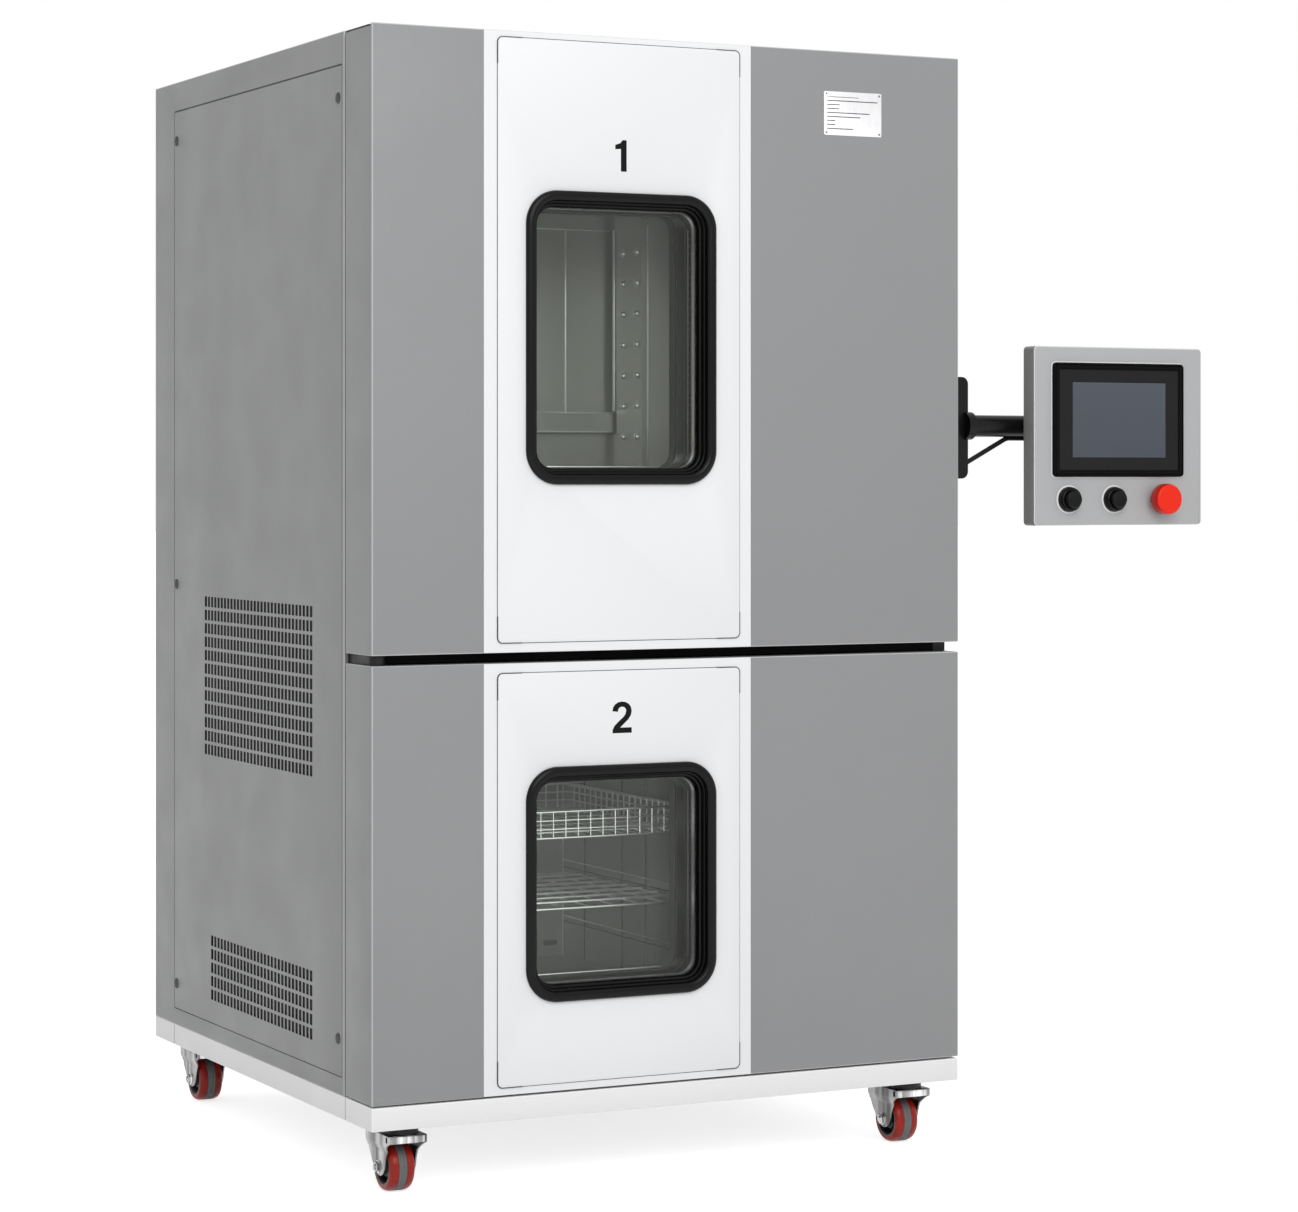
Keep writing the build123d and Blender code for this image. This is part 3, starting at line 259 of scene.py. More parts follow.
def everything(part):
    """A test that everything passes."""
    return True


def on_fold(low, high, width):
    """A test for faces of a box's rounded folds: near two of its sides and square to none."""

    def test(face):
        centre = face.calc_center_median()
        near = sum(
            abs(centre[axis] - side[axis]) < width for axis in range(3) for side in (low, high)
        )
        return near >= 2 and max(abs(part) for part in face.normal) < 0.985

    return test


def finished(piece, body, slot, finish=None, stands_for=(), angle=32, keep_normals=False):
    """Gives a piece its normals, shading and finish, and lets it ride on its body."""
    if not keep_normals:
        with shaping(piece):
            bpy.ops.mesh.normals_make_consistent(inside=False)
    only(piece)
    bpy.ops.object.shade_smooth_by_angle(angle=math.radians(angle))
    names = finish or slot
    dress(piece, *([names] if isinstance(names, str) else names))
    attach(piece, body)
    if stands_for:
        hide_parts(*stands_for)
    return piece


def dress(piece, *finishes):
    """Puts the named finishes in the piece's material slots."""
    piece.data.materials.clear()
    for name in finishes:
        piece.data.materials.append(finish_named(name))


def painted(piece, index, test):
    """Gives the faces that pass the test another of the piece's finishes."""
    with shaping(piece):
        choose("FACE", test)
        piece.active_material_index = index
        bpy.ops.object.material_slot_assign()
    return piece


# Starting shapes


def block(name, low, high):
    """A block between two opposite corners."""
    low, high = Vector(low), Vector(high)
    bpy.ops.object.select_all(action="DESELECT")
    bpy.ops.mesh.primitive_cube_add(size=1, location=(low + high) / 2)
    piece = bpy.context.object
    piece.scale = high - low
    return settle(piece, name)


def strips(name, corners, width, body, slot, finish=None, segments=1):
    """Thin blocks between pairs of corners, made one piece with rounded edges, and finished."""
    blocks = [block(f"{name}_{index}", *pair) for index, pair in enumerate(corners)]
    return finished(rounded(joined(name, blocks), width, everything, segments), body, slot, finish)


def rod(name, start, end, radius, sides=16):
    """A round rod between two points, closed at its ends."""
    start, end = Vector(start), Vector(end)
    run = end - start
    bpy.ops.object.select_all(action="DESELECT")
    bpy.ops.mesh.primitive_cylinder_add(
        vertices=sides,
        radius=radius,
        depth=run.length,
        location=(start + end) / 2,
        rotation=run.to_track_quat("Z", "Y").to_euler(),
    )
    return settle(bpy.context.object, name)


def turned(name, centre, direction, profile, sides=32):
    """A round piece, drawn up ring by ring through its (radius, height) steps in millimetres."""
    bpy.ops.object.select_all(action="DESELECT")
    radius, height = profile[0]
    bpy.ops.mesh.primitive_circle_add(
        vertices=sides, radius=radius * MM, location=(0, 0, height * MM)
    )
    piece = settle(bpy.context.object, name)
    with shaping(piece):
        for (radius, height), (wider, higher) in zip(profile, profile[1:]):
            bpy.ops.mesh.extrude_region_move(
                TRANSFORM_OT_translate={"value": (0, 0, (higher - height) * MM)}
            )
            growth = wider / radius
            bpy.ops.transform.resize(
                value=(growth, growth, 1), center_override=(0, 0, higher * MM)
            )
        bpy.ops.mesh.select_all(action="SELECT")
        if profile[0] == profile[-1]:
            bpy.ops.mesh.remove_doubles(threshold=1e-6)
        else:
            bpy.ops.mesh.fill_holes(sides=0)
        bpy.ops.mesh.normals_make_consistent(inside=False)
    piece.rotation_euler = Vector(direction).to_track_quat("Z", "Y").to_euler()
    piece.location = centre
    return settle(piece, name)


def outlined(name, points, step):
    """A flat shape drawn from point to point, filled, and given its thickness by the step."""
    bpy.ops.object.select_all(action="DESELECT")
    bpy.ops.mesh.primitive_plane_add(size=MM, location=points[0])
    piece = settle(bpy.context.object, name)
    with shaping(piece):
        bpy.ops.mesh.select_mode(type="VERT")
        bpy.ops.mesh.merge(type="CENTER")
        for start, end in zip(points, points[1:] + points[:1]):
            bpy.ops.mesh.extrude_region_move(TRANSFORM_OT_translate={"value": end - start})
        bpy.ops.mesh.select_all(action="SELECT")
        bpy.ops.mesh.remove_doubles(threshold=1e-6)
        bpy.ops.mesh.edge_face_add()
        bpy.ops.mesh.extrude_region_move(TRANSFORM_OT_translate={"value": step})
        bpy.ops.mesh.select_all(action="SELECT")
        bpy.ops.mesh.normals_make_consistent(inside=False)
    return piece


def plane(name, middle, width, length, turn=(0, 0, 0)):
    """A flat rectangle, level before its turn."""
    bpy.ops.object.select_all(action="DESELECT")
    bpy.ops.mesh.primitive_plane_add(size=1, location=middle, rotation=turn)
    piece = bpy.context.object
    piece.scale = (width, length, 1)
    return settle(piece, name)


def face_plate(name, low, high, y, radius=0, segments=8):
    """A flat upright face that looks forward, with rounded corners."""
    middle = ((low.x + high.x) / 2, y, (low.z + high.z) / 2)
    piece = plane(name, middle, high.x - low.x, high.z - low.z, (math.pi / 2, 0, 0))
    if radius:
        with shaping(piece):
            bpy.ops.mesh.bevel(offset=radius, segments=segments, affect="VERTICES")
    return piece


def moulding(name, low, high, back, radius, steps, segments=12):
    """A closed frame: its outline is drawn forward and inwards through the steps, given in
    millimetres as (inwards, forward), and its flat back then joins the last step to the first."""
    piece = face_plate(name, low, high, back, radius, segments)
    with shaping(piece):
        bpy.ops.mesh.select_mode(type="FACE")
        for inwards, forward in steps:
            bpy.ops.mesh.inset(thickness=max(inwards, 0.004) * MM, depth=forward * MM)
        bpy.ops.mesh.delete(type="FACE")
        choose("EDGE", lambda edge: edge.is_boundary)
        bpy.ops.mesh.bridge_edge_loops()
    return piece


def frame_copy(node, name):
    """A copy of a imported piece, with its loose triangles merged into whole flat faces."""
    piece = bpy.data.objects.new(name, frame["nodes"][node].data.copy())
    bpy.context.scene.collection.objects.link(piece)
    piece.data.name = name
    only(piece)
    if piece.data.has_custom_normals:
        bpy.ops.mesh.customdata_custom_splitnormals_clear()
    with shaping(piece):
        bpy.ops.mesh.remove_doubles(threshold=2e-6)
        bpy.ops.mesh.dissolve_limited(angle_limit=math.radians(0.4))
    return piece


def sheet_metal(node, name, body, slot):
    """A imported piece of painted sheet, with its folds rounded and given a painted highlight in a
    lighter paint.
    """
    radius = bpy.context.scene.chamber_sizes.fold_radius
    low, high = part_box(node)
    piece = frame_copy(node, name)
    rounded(piece, radius, lambda edge: planes_of(edge, low, high) >= 2)
    finished(piece, body, slot, (slot, "fold_" + slot), [node], keep_normals=True)
    return painted(piece, 1, on_fold(low, high, radius))


def wire_loop(name, low, high, z, radius, corner):
    """A closed loop of round wire with rounded corners, lying level."""
    middle = ((low.x + high.x) / 2, (low.y + high.y) / 2, z)
    piece = plane(name, middle, high.x - low.x, high.y - low.y)
    with shaping(piece):
        bpy.ops.mesh.bevel(offset=corner, segments=4, affect="VERTICES")
        bpy.ops.mesh.select_mode(type="FACE")
        bpy.ops.mesh.delete(type="ONLY_FACE")
    only(piece)
    bpy.ops.object.convert(target="CURVE")
    piece = bpy.context.object
    piece.data.bevel_depth = radius
    piece.data.bevel_resolution = 2
    bpy.ops.object.convert(target="MESH")
    return settle(bpy.context.object, name)


# Finishes


class Finish:
    """The node tree of one finish, with short calls that add and join its nodes."""

    def __init__(self, name):
        self.material = bpy.data.materials.new(name)
        self.material.use_nodes = True
        self.tree = self.material.node_tree
        self.tree.nodes.clear()
        self.output = self.add("OutputMaterial")
        self.shader = self.add("BsdfPrincipled")
        self.join(self.shader.outputs["BSDF"], self.output.inputs["Surface"])
        self.place = self.add("TexCoord").outputs["Object"]

    def add(self, kind, **settings):
        """Adds a node with its settings."""
        node = self.tree.nodes.new("ShaderNode" + kind)
        for name, value in settings.items():
            setattr(node, name, value)
        return node

    def join(self, output, target):
        """Links an output to a socket."""
        self.tree.links.new(output, target)

    def fix(self, **values):
        """Sets sockets of the shader that are the same all over the surface."""
        for name, value in values.items():
            self.shader.inputs[name.replace("_", " ")].default_value = value

    def noise(self, scale, detail=2.0, stretch=(1, 1, 1)):
        """Cloudy noise, at so many patches a metre."""
        place = self.add("Mapping")
        place.inputs["Scale"].default_value = stretch
        self.join(self.place, place.inputs["Vector"])
        texture = self.add("TexNoise")
        texture.inputs["Scale"].default_value = scale
        texture.inputs["Detail"].default_value = detail
        self.join(place.outputs["Vector"], texture.inputs["Vector"])
        return texture.outputs["Fac"]

    def spread(self, value, low, high, start=0.35, end=0.65):
        """The value's middle part, stretched to run from low to high."""
        node = self.add("MapRange")
        self.join(value, node.inputs["Value"])
        for name, number in zip(("From Min", "From Max", "To Min", "To Max"), (start, end, low, high)):
            node.inputs[name].default_value = number
        return node.outputs["Result"]

    def mixed(self, share, first, second):
        """One colour blended into another by the share."""
        node = self.add("Mix", data_type="RGBA")
        self.join(share, node.inputs[0])
        for socket, value in ((node.inputs[6], first), (node.inputs[7], second)):
            if isinstance(value, bpy.types.NodeSocket):
                self.join(value, socket)
            else:
                socket.default_value = (*value[:3], 1)
        return node.outputs[2]

    def raised(self, height, distance):
        """Relief of the surface from a height."""
        node = self.add("Bump")
        node.inputs["Distance"].default_value = distance
        self.join(height, node.inputs["Height"])
        return node.outputs["Normal"]

    def done(self, base=None, roughness=None, normal=None):
        """Joins what varies to the shader and gives the material."""
        for value, name in ((base, "Base Color"), (roughness, "Roughness"), (normal, "Normal")):
            if value is not None:
                self.join(value, self.shader.inputs[name])
        return self.material


def toned(base, change):
    """A colour made lighter or darker by a share."""
    return tuple(min(1.0, value * (1 + change)) for value in base)


def coated(name, base, vary, cloud, grain, rough, peel=0.03, shine=0.5):
    """Sprayed or moulded surfaces: faint clouds, a fine speckle, and an orange-peel skin."""
    finish = Finish(name)
    finish.fix(Specular_IOR_Level=shine)
    clouds = finish.mixed(
        finish.spread(finish.noise(cloud, 3), 0, 1), toned(base, -vary), toned(base, vary)
    )
    speckle = finish.spread(finish.noise(grain, 2), 0, 0.5)
    tint = finish.mixed(speckle, clouds, toned(base, -3 * vary))
    roughness = finish.spread(finish.noise(9, 4), *rough)
    skin = finish.raised(finish.noise(grain, 1), peel * MM)
    return finish.done(tint, roughness, skin)


def brushed(name, base, stretch, rough, vary=0.12, depth=0.01):
    """Ground sheet steel, with its scratches running one way."""
    finish = Finish(name)
    finish.fix(Metallic=1.0)
    lines = finish.noise(60, 4, stretch)
    clouds = finish.noise(3, 3)
    tint = finish.mixed(finish.spread(lines, 0, 1), toned(base, -vary), toned(base, vary))
    tint = finish.mixed(finish.spread(clouds, 0, 0.35), tint, toned(base, -2 * vary))
    roughness = finish.spread(lines, *rough)
    return finish.done(tint, roughness, finish.raised(lines, depth * MM))


def plated(name, base, rough, cloud=140, vary=0.1):
    """Zinc, nickel or chrome plate, with soft patches in its brightness."""
    finish = Finish(name)
    finish.fix(Metallic=1.0)
    patches = finish.noise(cloud, 3)
    tint = finish.mixed(finish.spread(patches, 0, 1), toned(base, -vary), toned(base, vary))
    roughness = finish.spread(finish.noise(cloud / 3, 3), *rough)
    return finish.done(tint, roughness, finish.raised(patches, 0.01 * MM))


def reflection_banded(name, dark, bright, scale, rough):
    """Polished steel sheet, with a painted reflection: soft upright dark and bright bands in its colour.
    """
    finish = Finish(name)
    finish.fix(Metallic=1.0)
    bands = finish.noise(scale, 2, (1, 1, 0.03))
    tint = finish.mixed(
        finish.spread(bands, 0, 1, 0.38, 0.6), (dark, dark, dark * 1.01), (bright,) * 3
    )
    grain = finish.noise(300, 3, (3, 3, 0.2))
    tint = finish.mixed(finish.spread(grain, 0, 0.3), tint, (dark * 0.7,) * 3)
    return finish.done(tint, finish.spread(grain, *rough), finish.raised(grain, 0.002 * MM))


def glazed(name, tint, gloss):
    """Window glass: it lets tinted light straight through, and mirrors a little at its face."""
    finish = Finish(name)
    clear = finish.add("BsdfTransparent")
    clear.inputs["Color"].default_value = (*tint, 1)
    finish.fix(Base_Color=(0.02, 0.02, 0.02, 1), Specular_IOR_Level=0.5)
    rim = finish.add("LayerWeight")
    rim.inputs["Blend"].default_value = 0.12
    share = finish.spread(rim.outputs["Fresnel"], gloss, 0.7, 0.0, 1.0)
    smears = finish.spread(finish.noise(14, 4), 0.02, 0.07)
    finish.join(smears, finish.shader.inputs["Roughness"])
    mirror = finish.add("BsdfGlossy")
    finish.join(smears, mirror.inputs["Roughness"])
    mix = finish.add("MixShader")
    finish.join(share, mix.inputs[0])
    finish.join(clear.outputs[0], mix.inputs[1])
    finish.join(mirror.outputs[0], mix.inputs[2])
    finish.join(mix.outputs[0], finish.output.inputs["Surface"])
    finish.tree.nodes.remove(finish.shader)
    return finish.material


def display(name, base):
    """The switched-off operator screen: slate grey under clear gloss, with painted light that makes it a
    little lighter towards the top.
    """
    finish = Finish(name)
    finish.fix(Specular_IOR_Level=0.15)
    split = finish.add("SeparateXYZ")
    finish.join(finish.place, split.inputs[0])
    low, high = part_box("hmi_screen")
    rise = finish.spread(split.outputs["Z"], 0, 1, low.z, high.z)
    tint = finish.mixed(rise, toned(base, -0.08), toned(base, 0.06))
    tint = finish.mixed(finish.spread(finish.noise(900, 1), 0, 0.3), tint, toned(base, -0.1))
    return finish.done(tint, finish.spread(finish.noise(30, 3), 0.32, 0.4))


def woolly(name, base):
    """Mineral wool, in loose matted fibres."""
    finish = Finish(name)
    fibres = finish.noise(180, 6, (1, 1, 6))
    tint = finish.mixed(finish.spread(fibres, 0, 1), toned(base, -0.35), toned(base, 0.2))
    finish.fix(Sheen_Weight=0.3)
    rough = finish.spread(fibres, 0.85, 1.0)
    return finish.done(tint, rough, finish.raised(fibres, 2 * MM))


# What makes each finish, and its values
FINISHES = {
    "black_paint": (coated, (0.005, 0.005, 0.0054), 0.2, 6, 300, (0.22, 0.34), 0.02, 0.2),
    "stainless": (brushed, (0.465, 0.47, 0.455), (12, 12, 0.4), (0.34, 0.46), 0.05, 0.0012),
    "zinc_plate": (plated, (0.62, 0.63, 0.64), (0.2, 0.36)),
    "hinge_steel": (plated, (0.08, 0.08, 0.082), (0.35, 0.5)),
    "hinge_dark": (plated, (0.03, 0.03, 0.031), (0.4, 0.52)),
    "screw_steel": (plated, (0.2, 0.2, 0.205), (0.3, 0.45)),
    # Bright chrome for the wire racks and bolts, and a painted highlight on strips, ridges and seams of
    # the zones and windows
    "wire_chrome": (plated, (0.93, 0.94, 0.95), (0.3, 0.42), 60, 0.05),
    "fin_aluminium": (brushed, (0.6, 0.61, 0.62), (1, 8, 1), (0.28, 0.42)),
    # Dark metal for the glazing spacers, and painted shade on the cold zone's seams
    "spacer_metal": (brushed, (0.12, 0.124, 0.116), (1, 8, 1), (0.34, 0.46)),
    "plate_silver": (brushed, (0.86, 0.86, 0.87), (8, 1, 1), (0.4, 0.5), 0.03),
    # The casters' fork and lip steel carry painted reflections
    "fork_steel": (reflection_banded, 0.13, 0.5, 46, (0.3, 0.42)),
    "lip_steel": (reflection_banded, 0.25, 0.98, 70, (0.16, 0.26)),
    "compressor_black": (coated, (0.012, 0.012, 0.013), 0.2, 8, 200, (0.3, 0.45)),
    "seal_rubber": (coated, (0.0036, 0.0036, 0.0038), 0.15, 12, 700, (0.2, 0.28), 0.012, 0.17),
    "gasket_rubber": (coated, (0.05, 0.05, 0.052), 0.1, 12, 500, (0.5, 0.62)),
    "reveal_grey": (coated, (0.05, 0.05, 0.049), 0.1, 12, 500, (0.5, 0.62)),
    "window_glass": (glazed, (0.955, 0.966, 0.95), 0.008),
    "insulation_wool": (woolly, shade(196, 186, 150)),
    "control_plastic": (coated, shade(96, 98, 100), 0.06, 20, 600, (0.4, 0.55)),
    "bezel_black": (coated, (0.003, 0.003, 0.0032), 0.1, 9, 800, (0.16, 0.22), 0.006, 0.07),
    "step_black": (coated, shade(33, 33, 34), 0.06, 20, 900, (0.5, 0.6), 0.03, 0.12),
    "screen": (display, shade(82, 88, 97)),
    "screen_rim": (coated, shade(108, 116, 122), 0.04, 30, 900, (0.3, 0.4)),
    "button_black": (coated, (0.0035, 0.0035, 0.0037), 0.1, 20, 700, (0.24, 0.32), 0.012, 0.16),
    # A darker red on the stop button's sides: painted shade
    "stop_red_side": (coated, shade(196, 30, 12), 0.03, 20, 800, (0.3, 0.4), 0.012, 0.3),
    "hub_grey": (coated, (0.014, 0.014, 0.015), 0.15, 40, 900, (0.36, 0.5), 0.04, 0.3),
    "band_grey": (coated, shade(104, 105, 106), 0.08, 30, 900, (0.5, 0.65), 0.05),
    # Near-black for the caster plates under the base: painted shade
    "raceway_dark": (coated, (0.008, 0.008, 0.0085), 0.2, 30, 900, (0.35, 0.5), 0.03, 0.3),
    "gland_plastic": (coated, (0.02, 0.02, 0.021), 0.1, 30, 900, (0.42, 0.52)),
    "numeral_ink": (coated, (0.004, 0.004, 0.004), 0.2, 14, 800, (0.5, 0.62), 0.03, 0.12),
    # Grey for the printed rules of the rating plate, and for the painted shadow line round the door
    # panels
    "rule_grey": (coated, shade(70, 71, 74), 0.08, 30, 900, (0.5, 0.6)),
    # Near-white paint on rims and rings: painted highlights
    "rim_light": (coated, shade(236, 236, 236), 0.02, 30, 900, (0.36, 0.44)),
    # A darker grey on the pod's sides: painted shade
    "pod_side_grey": (coated, shade(150, 150, 148), 0.02, 5, 620, (0.46, 0.56)),
    # Lighter paints on the rounded folds of the sheet metal: painted highlights
    "fold_cabinet_grey": (coated, (0.52, 0.523, 0.53), 0.02, 30, 520, (0.4, 0.48)),
    "fold_skirt_white": (coated, shade(250, 250, 250), 0.01, 30, 520, (0.4, 0.48)),
    "rail_black": (coated, (0.0012, 0.0012, 0.0013), 0.2, 8, 300, (0.5, 0.6), 0.02, 0.06),
    # Black that stands for shade in slots, grooves and holes: painted shade
    "slot_black": (coated, (0.003, 0.003, 0.003), 0.2, 30, 900, (0.5, 0.6)),
    "seam_shadow": (coated, shade(46, 46, 48), 0.08, 30, 900, (0.6, 0.7)),
}
# Nodes whose finish isn't that of their material slot; the caster plates under the base are made nearly
# black as painted shade
OTHER_FINISH = {
    "caster_plates": "raceway_dark",
    "centre_rail": "rail_black",
    "pivot_hinges": "hinge_dark",
}
# Finishes whose colour is a setting
COLOURED = {
    "cabinet_grey": (0.018, 1.6, 520, (0.46, 0.56), 0.035),
    "panel_white": (0.008, 2.0, 520, (0.42, 0.5)),
    "skirt_white": (0.012, 2.4, 520, (0.44, 0.54)),
    "pod_grey": (0.015, 5.0, 620, (0.44, 0.54)),
    "stop_red": (0.03, 20, 800, (0.28, 0.36), 0.012, 0.22),
    "tyre_red": (0.14, 60, 420, (0.24, 0.4), 0.05, 0.25),
}


def finish_named(name):
    """The material of that finish, made the first time it is asked for."""
    title = f"{name}_finish"
    made = bpy.data.materials.get(title)
    if made is not None:
        return made
    if name in COLOURED:
        base = tuple(getattr(bpy.context.scene.chamber_colours, name))
        return coated(title, base, *COLOURED[name])
    maker, *values = FINISHES[name]
    return maker(title, *values)


# Pieces


class CHAMBER_OT_frame_finishes(bpy.types.Operator):
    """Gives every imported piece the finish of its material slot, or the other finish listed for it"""

    bl_idname = "chamber.frame_finishes"
    bl_label = "Finish the frame"

    def execute(self, context):
        for node, piece in frame["nodes"].items():
            dress(piece, OTHER_FINISH.get(node, SLOT_OF_NODE[node]))
        for side in ("upper", "lower"):
            glass = frame["nodes"][f"{side}_window_glass"]
            glass.visible_shadow = glass.visible_diffuse = glass.visible_glossy = False
        return {"FINISHED"}


def cut_across(axis, places):
    """In edit mode, cuts right through at each place along an axis."""
    normal = [1.0 if index == axis else 0.0 for index in range(3)]
    for place in places:
        bpy.ops.mesh.select_all(action="SELECT")
        bpy.ops.mesh.bisect(plane_co=[place * part for part in normal], plane_no=normal)


def in_slot(value, start, pitch, width, count):
    """Whether a place along a row lies in one of its slots."""
    step, rest = divmod(value - start, pitch)
    return 0 <= step < count and rest < width


class CHAMBER_OT_service_panel(bpy.types.Operator):
    """Left service panel, punched with its upper and lower grille, with painted shade in its edge
    grooves, on its slot walls and behind its slots
    """

    bl_idname = "chamber.service_panel"
    bl_label = "Left service panel"

    first_slot = 244
    # Bottom, rows and columns of each grille
    grilles = ((612, 12, 32), (207, 5, 30))

    def execute(self, context):
        sizes = context.scene.chamber_sizes
        low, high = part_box("side_panel_left")
        first = at(0, self.first_slot, 0).y
        grilles = [(bottom * MM, rows, columns) for bottom, rows, columns in self.grilles]
        self.sheet(sizes, low, high, first, grilles)
        proud, deep = low.x - 0.1 * MM, low.x + 0.5 * MM
        overlap = 0.1 * MM
        # Black strips along the panel's edges: painted shade in the grooves round it
        grooves = [
            ((proud, low.y, high.z - overlap), (deep, high.y, high.z + 2.6 * MM)),
            ((proud, low.y, low.z - 1.6 * MM), (deep, high.y, low.z + overlap)),
            ((proud, low.y - 1.0 * MM, low.z), (deep, low.y + overlap, high.z)),
            ((proud, high.y - overlap, low.z), (deep, high.y + 0.8 * MM, high.z)),
        ]
        strips("service_panel_groove", grooves, 0.05 * MM, "cabinet", "cabinet_grey", "slot_black")
        # Black plates behind the grilles: painted shade seen through the slots
        backs = []
        for bottom, rows, columns in grilles:
            corner = Vector((high.x, first, bottom))
            reach = Vector((0, columns * sizes.slot_pitch_y, rows * sizes.slot_pitch_z))
            start = corner + Vector((2, -6, -6)) * MM
            backs.append((start, corner + Vector((3, 0, 0)) * MM + reach))
        strips("grille_backs", backs, 0.2 * MM, "cabinet", "cabinet_grey", "slot_black")
        return {"FINISHED"}

    def sheet(self, sizes, low, high, first, grilles):
        """The panel itself, cut into fields whose slots are taken out; its folds get a painted highlight
        and its slot walls painted shade.
        """
        middle = (low.x, (low.y + high.y) / 2, (low.z + high.z) / 2)
        turn = (0, -math.pi / 2, 0)
        panel = plane("service_panel_left", middle, high.z - low.z, high.y - low.y, turn)
        width, height = sizes.slot_width, sizes.slot_height
        with shaping(panel):
            most = max(columns for _, _, columns in grilles)
            sides = [first + column * sizes.slot_pitch_y for column in range(most)]
            cut_across(1, [place + part for place in sides for part in (0, width)])
            for bottom, rows, _ in grilles:
                ends = [bottom + row * sizes.slot_pitch_z for row in range(rows)]
                cut_across(2, [place + part for place in ends for part in (0, height)])

            def open_slot(face):
                middle = face.calc_center_median()
                return any(
                    in_slot(middle.y, first, sizes.slot_pitch_y, width, columns)
                    and in_slot(middle.z, bottom, sizes.slot_pitch_z, height, rows)
                    for bottom, rows, columns in grilles
                )

            choose("FACE", open_slot)
            bpy.ops.mesh.delete(type="FACE")
        modified(panel, "SOLIDIFY", thickness=high.x - low.x, offset=-1)
        rounded(panel, 0.7 * MM, lambda edge: planes_of(edge, low, high) >= 2, 2)
        finishes = ("cabinet_grey", "fold_cabinet_grey", "slot_black")
        finished(panel, "cabinet", "cabinet_grey", finishes, stands_for=["side_panel_left"])
        painted(panel, 1, on_fold(low, high, 0.8 * MM))
        margin = 5 * MM

        def slot_wall(face):
            centre = face.calc_center_median()
            clear_y = low.y + margin < centre.y < high.y - margin
            clear_z = low.z + margin < centre.z < high.z - margin
            return abs(face.normal.x) < 0.3 and clear_y and clear_z

        painted(panel, 2, slot_wall)


def panel_screw(name, centre, direction):
    """A cup washer with a screw in it, whose head has a small round recess."""
    profile = [(8.6, 0), (8.6, 0.7), (7.4, 2.0), (6.2, 2.3), (5.6, 1.5), (5.2, 0.4)]
    washer = turned(f"{name}_washer", centre, direction, profile)
    profile = [(5.3, 0.3), (5.3, 1.6), (4.5, 2.5), (3.0, 3.2), (1.2, 3.5)]
    head = turned(name, centre, direction, profile, 24)
    with shaping(head):
        top = Vector(centre) + Vector(direction) * 3.5 * MM
        choose("FACE", lambda face: (face.calc_center_median() - top).length < 0.3 * MM)
        bpy.ops.mesh.inset(thickness=0.3 * MM, depth=-1.2 * MM)
    return joined(name, [washer, head])


class CHAMBER_OT_panel_screws(bpy.types.Operator):
    """Cup-washer screws that hold the service panels"""

    bl_idname = "chamber.panel_screws"
    bl_label = "Panel screws"

    def execute(self, context):
        left = [(135, 1646), (885, 1645), (885, 891), (885, 211), (135, 225)]
        places = [at(0, y, z) for y, z in left]
        self.row("left_panel_screws", places, (-1, 0, 0), "hinge_steel")
        inset = 16 * MM
        low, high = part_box("side_panel_right")
        places = [
            Vector((high.x, y, z))
            for y in (low.y + inset, high.y - inset)
            for z in (low.z + 3 * inset, (low.z + high.z) / 2, high.z - 3 * inset)
        ]
        self.row("right_panel_screws", places, (1, 0, 0), "screw_steel")
        low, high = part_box("rear_panel")
        across = (low.x + inset, (low.x + high.x) / 2, high.x - inset)
        upright = (low.z + inset, (low.z + high.z) / 2, high.z - inset)
        places = [Vector((x, high.y, z)) for x in across for z in upright]
        del places[4]  # the middle of the panel
        self.row("rear_panel_screws", places, (0, 1, 0), "screw_steel")
        return {"FINISHED"}

    def row(self, name, places, direction, finish):
        """One screw at each place, all made one piece."""
        screw = panel_screw(name, places[0], direction)
        finished(repeated(name, screw, places), "cabinet", "hinge_steel", finish)


class CHAMBER_OT_cabinet(bpy.types.Operator):
    """Cabinet shell and base skirt, with their folded edges rounded and given a painted highlight, and
    the skirt's seams as painted shadow lines
    """

    bl_idname = "chamber.cabinet"
    bl_label = "Cabinet and base"

    def execute(self, context):
        sheet_metal("cabinet_shell", "cabinet_skin", "cabinet", "cabinet_grey")
        sheet_metal("base_frame", "base_tray", "cabinet", "skirt_white")
        low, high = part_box("base_frame")
        seams = []
        for y in (106, 897):
            front = at(0, y, 0).y
            start = (low.x - 0.15 * MM, front, low.z + 2 * MM)
            seams.append((start, (low.x + 0.5 * MM, front + 1.1 * MM, high.z - 1 * MM)))
        strips("skirt_seams", seams, 0.05 * MM, "cabinet", "skirt_white", "seam_shadow")
        return {"FINISHED"}


class CHAMBER_OT_doors(bpy.types.Operator):
    """Door shells and white door panels, with rounded folds that carry a painted highlight"""

    bl_idname = "chamber.doors"
    bl_label = "Doors"

    def execute(self, context):
        for side in ("upper", "lower"):
            body = f"{side}_door"
            sheet_metal(f"{side}_door_shell", f"{side}_door_skin", body, "cabinet_grey")
            node = f"{side}_door_front_panel"
            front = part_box(node)[0].y + ON_PLANE
            panel = frame_copy(node, f"{side}_white_panel")
            rounded(panel, 0.5 * MM, lambda edge: all(v.co.y < front for v in edge.verts), 2)
            finished(panel, body, "panel_white", stands_for=[node], keep_normals=True)
        return {"FINISHED"}


